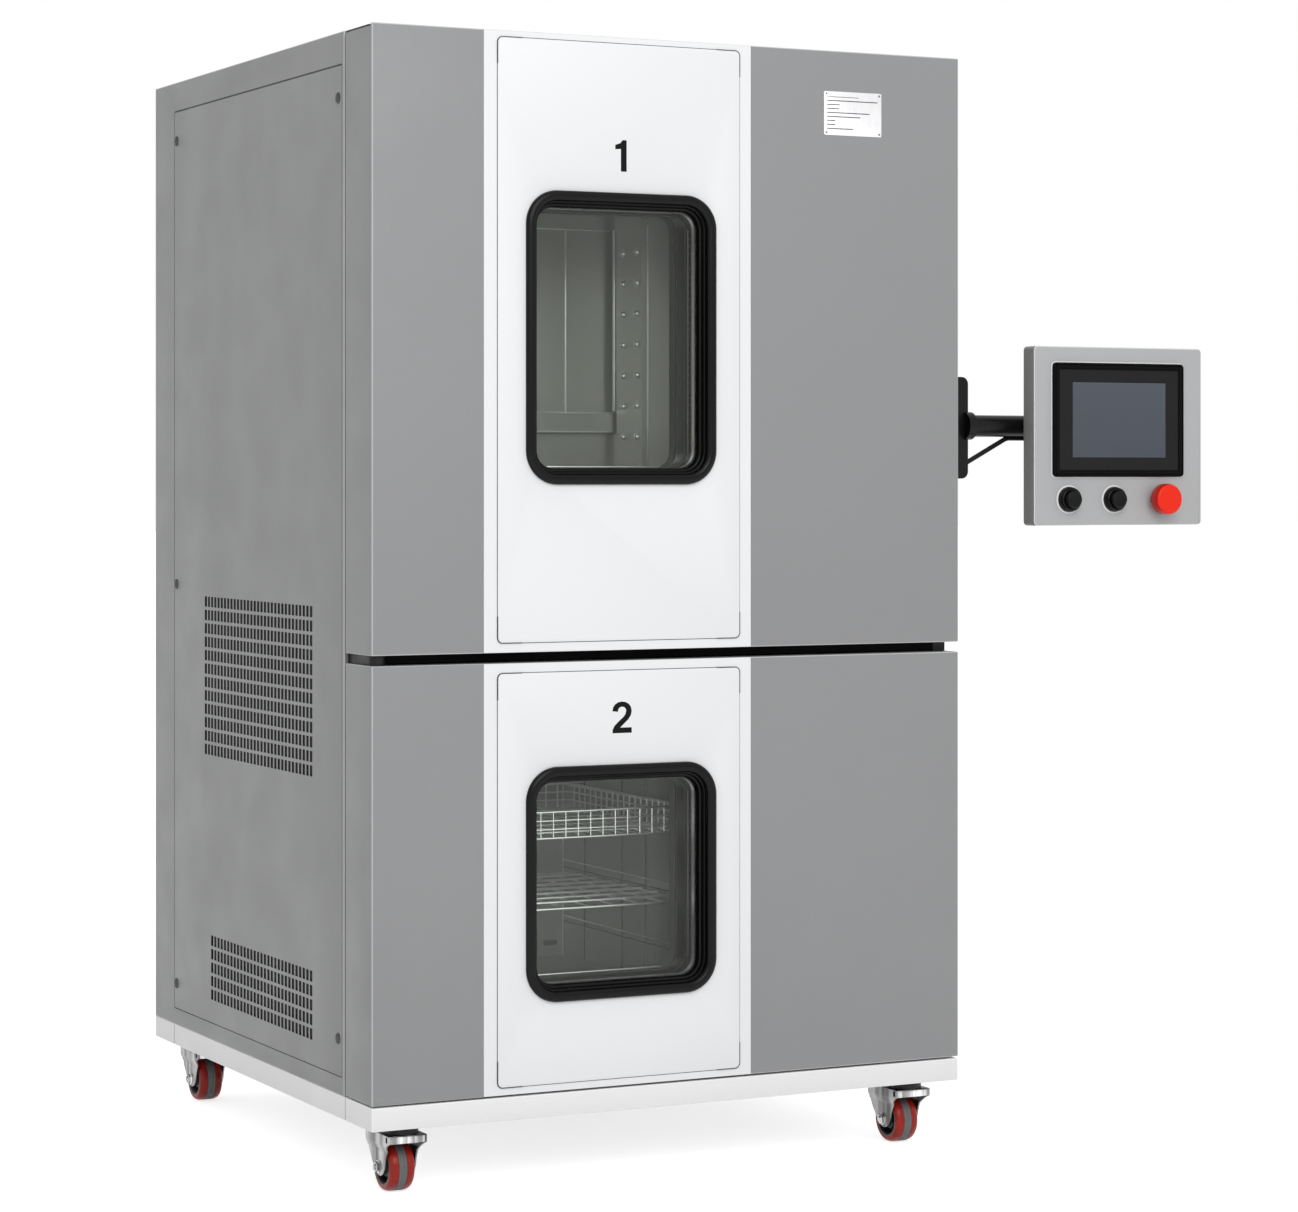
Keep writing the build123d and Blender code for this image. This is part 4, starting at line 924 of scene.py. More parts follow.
class CHAMBER_OT_window_trims(bpy.types.Operator):
    """Black rubber frames of the windows: an outer bead and a stepped lip down to the glass"""

    bl_idname = "chamber.window_trims"
    bl_label = "Window trims"

    def execute(self, context):
        bead_steps = [(0.2, 2.6), (0.8, 2.2), (1.6, 1.6), (2.4, 1.0), (2.6, 0.45), (2.6, -0.1)]
        bead_steps += [(2.4, -0.7), (1.7, -1.2), (1.2, -1.7), (0.7, -1.4), (0.3, -2.75)]
        lip_steps = [(0.1, 16.2), (1.4, 0.9), (1.6, -0.8), (0.7, -2.0), (0.5, -3.4), (1.7, -0.6)]
        lip_steps += [(1.0, 0.2), (0.9, -1.6), (0.5, -3.6), (1.9, -0.7), (1.1, 0.2), (0.8, -1.4)]
        lip_steps += [(0.8, -3.3)]
        for side in ("upper", "lower"):
            low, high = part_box(f"{side}_window_trim")
            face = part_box(f"{side}_door_front_panel")[0].y
            bead = moulding(f"{side}_window_bead", low, high, face, 52 * MM, bead_steps)
            nodes = [f"{side}_window_trim"]
            finished(bead, f"{side}_door", "seal_rubber", stands_for=nodes, angle=50)
            inset = Vector((11.9, 0, 11.9)) * MM
            name, back = f"{side}_window_lip", at(0, 14.9, 0).y
            lip = moulding(name, low + inset, high - inset, back, 40 * MM, lip_steps)
            finished(lip, f"{side}_door", "seal_rubber", angle=50)
        return {"FINISHED"}


class CHAMBER_OT_spacers(bpy.types.Operator):
    """Punched aluminium spacer frames between the window panes"""

    bl_idname = "chamber.spacers"
    bl_label = "Glazing spacers"

    def execute(self, context):
        for side in ("upper", "lower"):
            low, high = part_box(f"{side}_window_spacer")
            self.spacer(side, low, high)
            inset = Vector((13.6, 0, 13.6)) * MM
            steps = [(0, 22), (0.3, 0.3), (0.6, 0), (0.2, -0.3), (0, -22)]
            name, back = f"{side}_window_reveal", at(0, 105.8, 0).y
            reveal = moulding(name, low + inset, high - inset, back, 27 * MM, steps)
            finished(reveal, f"{side}_door", "seal_rubber", "reveal_grey", angle=50)
            ends = (
                (low.x + 34 * MM, at(0, 97, 0).y, low.z + 14.4 * MM),
                (high.x - 34 * MM, at(0, 105, 0).y, low.z + 16.2 * MM),
            )
            # A bright strip along the window's bottom: a painted highlight
            name = f"{side}_window_sill"
            strips(name, [ends], 0.7 * MM, f"{side}_door", "stainless", "wire_chrome", 2)
        return {"FINISHED"}

    def spacer(self, side, low, high):
        """Both rings of one window, with slots in their side walls; the ridges carry a painted highlight
        and the slots painted shade.
        """
        rings = {
            46: [(0, 26), (14.0, 0), (0.4, -0.4), (0, -8.6), (0.3, -0.3), (0, -4.2), (0, -8.5), (0, -4)],
            80: [(0, 29), (14.0, 0), (0.4, -0.4), (0, -2.6), (0.2, -0.3), (0, -12.7), (0, -2), (0, -11)],
        }
        frames = [
            moulding(f"{side}_spacer_{back}", low, high, at(0, back, 0).y, 40 * MM, steps)
            for back, steps in rings.items()
        ]
        piece = joined(f"{side}_glazing_spacer", frames)
        middle = (low + high) / 2
        wall = (high.x - low.x) / 2 - 14.7 * MM
        slots = at(0, 33.5, 0).y, at(0, 42, 0).y
        ridges = [(at(0, start, 0).y, at(0, end, 0).y) for start, end in ((20.2, 29.2), (51.2, 52.6))]

        def along_wall(edge):
            first, second = edge.verts[0].co, edge.verts[1].co
            run = second - first
            upright = abs(run.z) > 0.1 and abs(run.x) < 1e-5
            on_wall = abs(abs(first.x - middle.x) - wall) < 0.15 * MM
            return upright and on_wall and slots[0] - 0.2 * MM < first.y < slots[1] + 0.2 * MM

        def punched(face):
            centre = face.calc_center_median()
            return (
                len(face.verts) == 4
                and abs(face.normal.x) > 0.9
                and slots[0] < centre.y < slots[1]
                and -0.15 * MM < abs(centre.x - middle.x) - wall < 1.2 * MM
                and max(edge.calc_length() for edge in face.edges) < 20 * MM
            )

        def ridge(face):
            y = face.calc_center_median().y
            inner = abs(face.normal.y) < 0.5
            return inner and any(start < y < end for start, end in ridges)

        with shaping(piece):
            choose("EDGE", along_wall)
            bpy.ops.mesh.subdivide(number_cuts=int((high.z - low.z) / (15 * MM)))
            choose("FACE", punched)
            bpy.ops.mesh.inset(thickness=0.9 * MM, depth=-1.0 * MM, use_individual=True)
        finishes = ("spacer_metal", "wire_chrome", "slot_black")
        nodes = [f"{side}_window_spacer"]
        finished(piece, f"{side}_door", "fin_aluminium", finishes, stands_for=nodes)
        painted(piece, 1, ridge)
        painted(piece, 2, punched)


class CHAMBER_OT_panel_lines(bpy.types.Operator):
    """Fine shadow line round each raised door panel, heavier at its corners"""

    bl_idname = "chamber.panel_lines"
    bl_label = "Panel lines"

    def execute(self, context):
        for side in ("upper", "lower"):
            door_low, door_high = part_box(f"{side}_door_shell")
            bottom, top = (15.0, 10.0) if side == "upper" else (12.0, 15.4)
            low = at(203, 0, door_low.z / MM + bottom)
            high = at(614, 0, door_high.z / MM - top)
            edge = Vector((1.1, 0, 1.1)) * MM
            line, corner = (
                moulding(f"{side}_{name}_line", low - edge, high + edge, back, 9 * MM, steps, 8)
                for name, back, steps in (
                    ("panel", at(0, 0.05, 0).y, [(0.02, 0.3), (0.9, 0.05), (0.1, -0.3)]),
                    ("corner", at(0, 0.02, 0).y, [(0.02, 1.45), (0.25, 0.22), (1.3, 0), (0.1, -1.6)]),
                )
            )
            reach = Vector((40, 0, 40)) * MM
            middle_low, middle_high = low + reach, high - reach

            def between(face):
                centre = face.calc_center_median()
                inside_x = middle_low.x < centre.x < middle_high.x
                inside_z = middle_low.z < centre.z < middle_high.z
                return inside_x or inside_z

            with shaping(corner):
                for place in (middle_low, middle_high):
                    for axis in (0, 2):
                        cut_across(axis, [place[axis]])
                choose("FACE", between)
                bpy.ops.mesh.delete(type="FACE")
                bpy.ops.mesh.select_all(action="SELECT")
                bpy.ops.mesh.fill_holes(sides=0)
            outline = joined(f"{side}_panel_outline", [line, corner])
            finished(outline, f"{side}_door", "panel_white", "rule_grey")
        return {"FINISHED"}


# The zone numbers' outlines, drawn about their middle at a height of 1
ONE_OUTLINE = [
    (-0.04, -0.5), (0.16, -0.5), (0.16, 0.5), (0.02, 0.5), (-0.06, 0.4), (-0.24, 0.34), (-0.24, 0.2),
    (-0.04, 0.22),
]
TWO_OUTLINE = [
    (-0.34, -0.5), (0.34, -0.5), (0.34, -0.33), (-0.07, -0.33), (0.06, -0.21), (0.22, -0.07),
    (0.31, 0.06), (0.34, 0.2), (0.31, 0.33), (0.24, 0.42), (0.13, 0.48), (0, 0.5), (-0.13, 0.48),
    (-0.24, 0.42), (-0.31, 0.33), (-0.34, 0.2), (-0.15, 0.18), (-0.13, 0.27), (-0.08, 0.32),
    (0, 0.34), (0.08, 0.32), (0.13, 0.27), (0.15, 0.2), (0.12, 0.1), (0.04, 0), (-0.12, -0.13),
    (-0.26, -0.26), (-0.33, -0.38),
]


class CHAMBER_OT_zone_numbers(bpy.types.Operator):
    """Plain numbers 1 and 2 on the two doors"""

    bl_idname = "chamber.zone_numbers"
    bl_label = "Zone numbers"

    def execute(self, context):
        height = context.scene.chamber_sizes.numeral_height
        for side, outline, z in (("upper", ONE_OUTLINE, 1564), ("lower", TWO_OUTLINE, 706)):
            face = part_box(f"{side}_door_front_panel")[0].y
            low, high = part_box(f"{side}_window_trim")
            middle = Vector(((low.x + high.x) / 2, face + 0.15 * MM, z * MM))
            points = [middle + Vector((x, 0, up)) * height for x, up in outline]
            figure = outlined(f"{side}_zone_number", points, Vector((0, -0.4 * MM, 0)))
            finished(figure, f"{side}_door", "bezel_black", "numeral_ink", angle=20)
        return {"FINISHED"}


class CHAMBER_OT_rating_plate(bpy.types.Operator):
    """Bare rating plate with ruled lines and four rivets"""

    bl_idname = "chamber.rating_plate"
    bl_label = "Rating plate"

    def execute(self, context):
        low, high = at(765, 0, 1612), at(869, 0, 1681)
        face = at(0, 0, 0).y
        plate = face_plate("rating_plate", low, high, face - 1.1 * MM, 2.5 * MM, 4)
        modified(plate, "SOLIDIFY", thickness=1.1 * MM, offset=-1)
        rounded(plate, 0.25 * MM, lambda edge: edge.verts[0].co.y < face - 1 * MM, 2)
        finished(plate, "upper_door", "panel_white", "plate_silver")
        width = high.x - low.x
        lines = []
        for index, share in enumerate((0.6, 0.93, 0.27, 0.26, 0.79, 0.63, 0.19, 0.19, 0.5)):
            z = high.z - (9 + 6.3 * index) * MM
            thick = 0.9 * MM if index == 0 else 1.5 * MM
            start = (low.x + 0.05 * width, face - 1.22 * MM, z)
            lines.append((start, (low.x + share * width, face - 1.0 * MM, z + thick)))
        strips("plate_rules", lines, 0.05 * MM, "upper_door", "panel_white", "rule_grey")
        inset = 4 * MM
        corners = [
            Vector((x, face - 1.0 * MM, z))
            for x in (low.x + inset, high.x - inset)
            for z in (low.z + inset, high.z - inset)
        ]
        profile = [(1.7, 0), (1.6, 0.5), (1.1, 0.9), (0.4, 1.1)]
        rivets = repeated("plate_rivets", turned("rivet", corners[0], (0, -1, 0), profile, 16), corners)
        finished(rivets, "upper_door", "hinge_steel", "screw_steel", angle=60)
        return {"FINISHED"}


def wire_row(name, start, end, radius, gaps, step):
    """A row of round wires that divides a frame into that many gaps."""
    return rowed(rod(name, start, end, radius, 8), gaps - 1, step)


def rack(name, loops=0):
    """A wire rack: crossed floor wires in a frame loop, with uprights and more loops for a basket."""
    outer_low, outer_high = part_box(name)
    pitch = bpy.context.scene.chamber_sizes.wire_pitch
    frame_radius, grid_radius = 2.0 * MM, 1.5 * MM
    cross_radius = 1.7 * grid_radius
    inwards = Vector((frame_radius, frame_radius, 0))
    low, high = outer_low + inwards, outer_high - inwards
    corner = 12 * MM
    z = low.z + frame_radius
    parts = [wire_loop(f"{name}_loop", low, high, z, frame_radius, corner)]
    width, depth = high.x - low.x, high.y - low.y
    across = max(2, round(width / (pitch if loops else 2 * pitch)))
    step = width / across
    x, aside = low.x + step, (step, 0, 0)
    floor_z = z + grid_radius * 0.4
    start, end = (x, low.y, floor_z), (x, high.y, floor_z)
    parts.append(wire_row(f"{name}_wire", start, end, grid_radius, across, aside))
    rows = max(2, round(depth / (2.7 * pitch)))
    row_step = depth / rows
    y, over = low.y + row_step, floor_z + 1.6 * grid_radius
    start, end = (low.x, y, over), (high.x, y, over)
    parts.append(wire_row(f"{name}_cross", start, end, cross_radius, rows, (0, row_step, 0)))
    if loops:
        top = high.z - frame_radius
        for index in range(1, loops + 1):
            rise = z + (top - z) * index / loops
            radius = frame_radius if index == loops else grid_radius
            parts.append(wire_loop(f"{name}_loop_{index}", low, high, rise, radius, corner))
        for y in (low.y, high.y):
            start, end = (x, y, z), (x, y, top)
            parts.append(wire_row(f"{name}_up", start, end, grid_radius, across, aside))
        rows = max(2, round(depth / pitch))
        row_step = depth / rows
        y = low.y + row_step
        for x in (low.x, high.x):
            start, end = (x, y, z), (x, y, top)
            parts.append(wire_row(f"{name}_side", start, end, grid_radius, rows, (0, row_step, 0)))
    return finished(joined(f"{name}_wires", parts), "cabinet", "wire_chrome", stands_for=[name], angle=60)


class CHAMBER_OT_wire_racks(bpy.types.Operator):
    """Round-wire basket and shelf of the cold zone"""

    bl_idname = "chamber.wire_racks"
    bl_label = "Wire basket and shelf"

    def execute(self, context):
        rack("wire_basket", 3)
        rack("wire_shelf")
        return {"FINISHED"}


class CHAMBER_OT_hot_zone_fittings(bpy.types.Operator):
    """Dome bolts and a flange on the hot zone's right wall, and the seams of its walls; the flange is a
    bright strip with a painted reflection, and the seams are bright strips of painted highlight
    """

    bl_idname = "chamber.hot_zone_fittings"
    bl_label = "Hot zone fittings"

    def execute(self, context):
        profile = [(6.4, 0), (6.4, 0.8), (5.2, 1.0), (5.0, 2.4), (4.0, 3.9), (2.2, 4.8), (0.6, 5.0)]
        bolt = turned("hot_wall_bolt", at(601, 332, 1139), (-1, 0, 0), profile, 16)
        rowed(bolt, 7, (0, 0, 50.5 * MM))
        rowed(bolt, 2, (0, 51 * MM, 0))
        finished(joined("hot_wall_bolts", [bolt]), "cabinet", "stainless", "wire_chrome", angle=50)
        flange = [(at(597, 411, 1182), at(601, 416, 1483))]
        strips("hot_wall_flange", flange, 1.2 * MM, "cabinet", "stainless", "wire_chrome", 3)
        seams = [
            ((518, 431.5, 1180), (520.5, 433.4, 1480)),
            ((300, 431.5, 1180), (302.5, 433.4, 1480)),
            ((210, 431, 1481.4), (600, 433, 1483.6)),
            ((599.4, 290, 1030), (601.4, 292.6, 1483)),
            ((210, 417.0, 1177), (600, 418.6, 1180.6)),
            ((210, 417.0, 1146.4), (600, 418.6, 1149)),
        ]
        corners = [(at(*start), at(*end)) for start, end in seams]
        strips("hot_wall_seams", corners, 0.5 * MM, "cabinet", "stainless", "wire_chrome", 2)
        return {"FINISHED"}


class CHAMBER_OT_cold_zone_fittings(bpy.types.Operator):
    """Seams, folds and the threshold strip of the cold zone's walls: bright strips on the folds and the
    threshold are painted highlights, and dark strips on the seams are painted shade
    """

    bl_idname = "chamber.cold_zone_fittings"
    bl_label = "Cold zone fittings"

    def execute(self, context):
        bright = [
            ((607.2, 632, 240), (608.9, 634.4, 690)),
            ((607.4, 199, 545), (608.9, 630, 547.4)),
            ((607.4, 199, 416), (608.9, 630, 418)),
            ((607.4, 199, 320), (608.9, 630, 322)),
            ((210, 112, 236.2), (608, 117, 238)),
        ]
        dark = [
            ((607.6, 546, 240), (608.9, 548, 690)),
            ((607.6, 402, 240), (608.9, 404, 690)),
            ((607.6, 315, 240), (608.9, 317, 690)),
            ((607.6, 199, 404), (608.9, 630, 406)),
            ((607.6, 199, 311), (608.9, 630, 313)),
        ]
        for name, places, finish in (
            ("cold_wall_folds", bright, "wire_chrome"),
            ("cold_wall_seams", dark, "spacer_metal"),
        ):
            corners = [(at(*start), at(*end)) for start, end in places]
            strips(name, corners, 0.4 * MM, "cabinet", "stainless", finish, 2)
        return {"FINISHED"}


class CHAMBER_OT_pod(bpy.types.Operator):
    """Operator pod: rounded case, stepped screen frame and the mask round its screen"""

    bl_idname = "chamber.pod"
    bl_label = "Operator pod"

    def execute(self, context):
        low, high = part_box("hmi_bezel")
        inwards = Vector((11.3, 0, 11.3)) * MM
        self.case()
        self.screen_frame(low, high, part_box("pod_case")[0].y)
        self.screen_mask(low + inwards, high - inwards)
        return {"FINISHED"}

    def case(self):
        """The pod's case, with rounded rims, a painted highlight on its front rim and painted shade on
        its sides.
        """
        low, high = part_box("pod_case")
        case = frame_copy("pod_case", "pod_box")

        def rim(edge):
            on_front = all(vertex.co.y < low.y + ON_PLANE for vertex in edge.verts)
            on_back = all(vertex.co.y > high.y - ON_PLANE for vertex in edge.verts)
            middle = (edge.verts[0].co + edge.verts[1].co) / 2
            near = min(middle.x - low.x, high.x - middle.x, middle.z - low.z, high.z - middle.z)
            return (on_front or on_back) and near < 8 * MM

        def front_rim(face):
            return -0.92 < face.normal.y < -0.3 and face.calc_center_median().y < low.y + 2 * MM

        rounded(case, 2.2 * MM, rim, 4)
        finishes = ("pod_grey", "pod_side_grey", "rim_light")
        finished(case, "arm", "pod_grey", finishes, stands_for=["pod_case"], keep_normals=True)
        # Painted shade on every face of the case that doesn't look forward
        painted(case, 1, lambda face: face.normal.y > -0.5)
        # Painted highlight on the front rim
        painted(case, 2, front_rim)

    def screen_frame(self, low, high, face):
        """The stepped black frame in its cut-out, round which a thin ring carries a painted highlight."""
        steps = [(0, 3.6), (0.25, 1.0), (0.6, 0.8), (0.9, 0.6), (2.4, 0), (0.1, -5.9)]
        outer = moulding("screen_frame_rim", low, high, face, 7 * MM, steps, 6)
        ledge = Vector((3.2, 0, 3.2)) * MM
        steps = [(0, 6.0), (5.8, 0), (0.3, -0.4), (1.0, 0), (0.3, 0.3), (0.3, 0), (0.3, -1.1)]
        steps += [(0.1, -4.8)]
        inner = moulding("screen_frame_ledge", low + ledge, high - ledge, face, 0, steps)
        bezel = joined("screen_frame", [outer, inner])
        finished(bezel, "arm", "bezel_black", stands_for=["hmi_bezel"], angle=40)
        edge = Vector((2.0, 0, 2.0)) * MM
        steps = [(0, 0.6), (0.25, 0.25), (1.6, 0), (0.25, -0.2), (1.2, -0.5)]
        back = face + 0.5 * MM
        rim = moulding("screen_cutout", low - edge, high + edge, back, 9 * MM, steps, 6)
        finished(rim, "arm", "pod_grey", "rim_light", angle=50)

    def screen_mask(self, low, high):
        """The dark step between the frame and the screen, with a fine grey rim."""
        screen_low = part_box("hmi_screen")[0]
        middle = (low + high) / 2
        mask = face_plate("screen_mask", low, high, screen_low.y + 1.2 * MM)
        across = (high.x - low.x) / 2 - (screen_low.x - low.x)
        upright = (high.z - low.z) / 2 - (screen_low.z - low.z)
        rim = 0.6 * MM
        with shaping(mask):
            bpy.ops.mesh.select_mode(type="FACE")
            bpy.ops.mesh.inset(thickness=0.005 * MM, depth=0.9 * MM)
            inset = screen_low.z - low.z - rim
            bpy.ops.mesh.inset(thickness=inset)
            growth = (across + rim) / ((high.x - low.x) / 2 - inset)
            bpy.ops.transform.resize(value=(growth, 1, 1), center_override=middle)
            bpy.ops.mesh.inset(thickness=rim, depth=-0.25 * MM)
            bpy.ops.mesh.delete(type="FACE")
            choose("EDGE", lambda edge: edge.is_boundary)
            bpy.ops.mesh.bridge_edge_loops()
        finished(mask, "arm", "bezel_black", ("step_black", "screen_rim"))

        def rim_slope(face):
            centre = face.calc_center_median() - middle
            near = max(abs(centre.x) - across, abs(centre.z) - upright)
            return 0 < near < rim and face.normal.y < -0.2

        painted(mask, 1, rim_slope)


class CHAMBER_OT_buttons(bpy.types.Operator):
    """Two black push buttons and the red mushroom stop, each turned with its collar"""

    bl_idname = "chamber.buttons"
    bl_label = "Buttons"

    def execute(self, context):
        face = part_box("pod_case")[0].y

        def part(name, node, profile, sides=48):
            """A round part in front of the pod's face, on the axis of one button."""
            low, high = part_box(node)
            centre = ((low.x + high.x) / 2, face, (low.z + high.z) / 2)
            return turned(name, centre, (0, -1, 0), profile, sides)

        stop_collar = [(15.6, 0), (15.6, 6.4), (14.6, 7.6), (13.0, 8.0), (10.0, 7.6), (9.5, 6.5)]
        stop_collar += [(9.5, 0.5)]
        collar = [(19.6, 0), (21.0, 0.8), (21.0, 3.0), (20.4, 3.6), (20.4, 7.4), (19.9, 9.4)]
        collar += [(18.7, 11.2), (16.9, 12.0), (15.5, 11.8), (14.8, 11.0), (14.8, 0.5)]
        washer = [(20.6, 0), (23.6, 0), (23.6, 0.3), (23.1, 0.6), (20.6, 0.6), (20.6, 0)]
        cap = [(6.4, -17), (6.4, 5), (14.5, 5), (14.5, 17.4), (14.1, 18.9), (13.3, 19.8)]
        cap += [(12.2, 20.0), (10.6, 19.5), (6.5, 19.0), (2.0, 18.9)]
        head = [(6.4, -17), (6.4, 5), (9.2, 5), (9.2, 13.0), (21.2, 13.6), (24.6, 14.2), (25.8, 16.2)]
        head += [(25.8, 28.0), (25.5, 31.0), (24.7, 33.4), (23.2, 35.0), (21.2, 35.8), (18.0, 36.0)]
        head += [(4.0, 36.0)]
        collars, washers = [], []
        for side in ("left", "right"):
            node = f"black_button_{side}"
            collars.append(part(f"{side}_collar", node, collar))
            washers.append(part(f"{side}_washer", node, washer))
            piece = part(f"{side}_push_cap", node, cap)
            finished(piece, f"button_{side}", "button_black", stands_for=[node], angle=40)
        node = "e_stop_button"
        collars.append(part("stop_collar", node, stop_collar))
        finished(joined("button_rings", collars), "arm", "button_black", stands_for=["button_collars"])
        # Light rings round the black buttons: painted highlights
        finished(joined("button_washers", washers), "arm", "pod_grey", "rim_light", angle=50)
        piece = part("stop_head", node, head, 56)
        finishes = ("stop_red", "stop_red_side")
        finished(piece, "stop_button", "stop_red", finishes, stands_for=[node], angle=40)
        # Painted shade on the sides of the red head
        painted(piece, 1, lambda face: face.normal.y > -0.35)
        return {"FINISHED"}


# The front left caster's kingpin, how far the others stand from it, and the axle below it
CASTER_X, CASTER_Y = 68, 52
CASTERS_ACROSS, CASTERS_ALONG = 876, 856
AXLE_BACK, AXLE_UP = 27, 37.5
# Side view of one leg, from the kingpin back and from the floor up
LEG_OUTLINE = (
    [(-27, 91), (-27, 80), (-25.5, 78.4), (-21, 76.8), (-15, 73.6), (-9.5, 69), (-5, 63)]
    + [(-1.5, 56.5), (1, 50), (2.8, 43.5), (5, 37), (8.5, 31), (13.5, 27), (20, 25), (27, 24.8)]
    + [(34, 26.8), (40, 31.5), (47, 38), (54, 46), (60, 53.5), (64, 60.5), (65.6, 66.5), (66, 91)]
)


def caster_leg(side):
    """One pressed leg: its sheet steps out to the crown, and its edge is rounded."""
    inner = CASTER_X + side * 23
    points = [at(inner, CASTER_Y + back, up) for back, up in LEG_OUTLINE]
    leg = outlined("leg", points, Vector((side * 3 * MM, 0, 0)))
    with shaping(leg):
        cut_across(2, [height * MM for height in (62, 66, 69, 72, 76)])
        for height, shift in ((64, 0.8), (67.5, 1.4), (70.5, 1.6), (74, 1.2)):
            choose("VERT", lambda vertex: vertex.co.z > height * MM)
            bpy.ops.transform.translate(value=(side * shift * MM, 0, 0))
    return rounded(leg, 0.9 * MM, lambda edge: edge.calc_face_angle(0) > 1.2, 3)


def caster_fork():
    """A pressed fork: the crown with its two stepped legs."""
    legs = [caster_leg(side) for side in (-1, 1)]
    x, y = CASTER_X, CASTER_Y
    crown = block("crown", at(x - 30.6, y - 26.6, 86), at(x + 30.6, y + 66, 91.2))

    def front_corner(edge):
        first, second = edge.verts
        upright = (first.co - second.co).xy.length < ON_PLANE
        return upright and first.co.y < at(0, y, 0).y

    with shaping(crown):
        choose("EDGE", front_corner)
        bpy.ops.mesh.bevel(offset=5 * MM, segments=5, affect="EDGES")
    rounded(crown, 1.2 * MM, everything, 3)
    return joined("front_left_caster_fork", legs + [crown])


def caster_trim():
    """The crown's folded front lip, and the axle with its washers, heads and ends."""
    half = [(31.0, -14), (31.0, -21), (29.7, -25.2), (26.0, -27.6)]
    inside = [(24.8, -24.4), (27.0, -23.2), (28.0, -21), (28.0, -14)]
    outline = [(-across, out) for across, out in half] + half[::-1]
    outline += inside[::-1] + [(-across, out) for across, out in inside]
    points = [at(CASTER_X + across, CASTER_Y + out, 79.2) for across, out in outline]
    lip = outlined("lip", points, Vector((0, 0, 11 * MM)))
    rounded(lip, 1.1 * MM, lambda edge: edge.calc_face_angle(0) > 1.2, 3)
    parts = [lip]
    axle = Vector((0, AXLE_BACK, AXLE_UP)) * MM + at(CASTER_X, CASTER_Y, 0)
    for side in (-1, 1):
        outward = Vector((side, 0, 0))
        for out, sides, profile in (
            (25.8, 24, [(9.6, 0), (9.6, 1.0), (9.0, 1.4), (6, 1.4)]),
            (27.1, 6, [(8.0, 0), (8.3, 0.4), (8.3, 3.6), (7.4, 4.3), (3.0, 4.5)]),
            (31.4, 20, [(4.9, 0), (4.9, 1.2), (4.1, 1.9), (1, 2.0)]),
        ):
            parts.append(turned("bolt", axle + outward * out * MM, outward, profile, sides))
    reach = Vector((26, 0, 0)) * MM
    parts.append(rod("axle", axle - reach, axle + reach, 4.95 * MM, 20))
    return joined("front_left_caster_trim", parts)


def wheel_ring(name, profile):
    """A ring of the wheel, turned about its axle from (radius, across) steps."""
    centre = at(CASTER_X, CASTER_Y + AXLE_BACK, AXLE_UP)
    return turned(f"front_left_caster_{name}", centre, (1, 0, 0), profile, 48)


def both_ways(half):
    """A wheel section whose second half mirrors its first, closed again at its start."""
    return half + [(radius, -across) for radius, across in half[::-1]] + half[:1]


class CHAMBER_OT_casters(bpy.types.Operator):
    """Four swivel casters: forks, red tyres with a grey middle band, and ribbed hubs"""

    bl_idname = "chamber.casters"
    bl_label = "Casters"

    def execute(self, context):
        tyre = [(27.6, -19.4), (31.6, -20.0), (33.6, -19.4), (35.3, -17.6), (36.5, -15.0)]
        tyre += [(37.3, -11.5), (37.5, -7.4), (36.9, -6.9), (36.4, -6.6)]
        band = [(35.6, -6.5), (37.1, -6.5), (37.5, -5.9), (37.5, -4.6), (37.1, -4.2)]
        band += [(36.9, -3.4), (37.1, -2.6), (37.4, -2.2), (37.4, -0.9), (37.0, -0.6)]
        hub = [(5.1, -22), (10.5, -22), (11, -21.4), (11, -18), (12.4, -15.4), (16, -13.8), (16, -7.4)]
        hub += [(17.4, -6.0), (21.4, -6.0), (22.6, -7.4), (24.0, -16.4), (25.6, -18.6), (27.5, -19.0)]
        rim = [(26.0, 17.2), (26.6, 19.0), (27.2, 20.0), (28.2, 20.1), (28.7, 19.4), (28.4, 17.2)]
        rim += rim[:1]
        fork, trim = caster_fork(), caster_trim()
        tyre = wheel_ring("tyre", both_ways(tyre))
        bands = [wheel_ring("band", both_ways(band))]
        for side in (-1, 1):
            bands.append(wheel_ring("rim", [(radius, side * across) for radius, across in rim]))
        band = joined("front_left_caster_band", bands)
        hub = wheel_ring("hub", both_ways(hub))
        # Piece, kind of body, slot, finish, shading angle and whether it stands for a node
        models = {
            "fork": (fork, "swivel", "zinc_plate", "fork_steel", 40, True),
            "trim": (trim, "swivel", "zinc_plate", "lip_steel", 40, False),
            "tyre": (tyre, "wheel", "tyre_red", "tyre_red", 40, True),
            "band": (band, "wheel", "hub_grey", "band_grey", 40, False),
            "hub": (hub, "wheel", "hub_grey", "hub_grey", 30, True),
        }
        shifts = {
            "front_right": Vector((CASTERS_ACROSS, 0, 0)) * MM,
            "rear_left": Vector((0, CASTERS_ALONG, 0)) * MM,
            "rear_right": Vector((CASTERS_ACROSS, CASTERS_ALONG, 0)) * MM,
        }
        sets = {"front_left": {part: values[0] for part, values in models.items()}}
        for place, shift in shifts.items():
            sets[place] = {
                part: copied(piece, f"{place}_caster_{part}", shift)
                for part, piece in sets["front_left"].items()
            }
        for place, pieces in sets.items():
            for part, (_, body, slot, finish, angle, stands) in models.items():
                nodes = [f"{place}_{part}"] if stands else ()
                finished(pieces[part], f"{place}_{body}", slot, finish, nodes, angle)
        return {"FINISHED"}


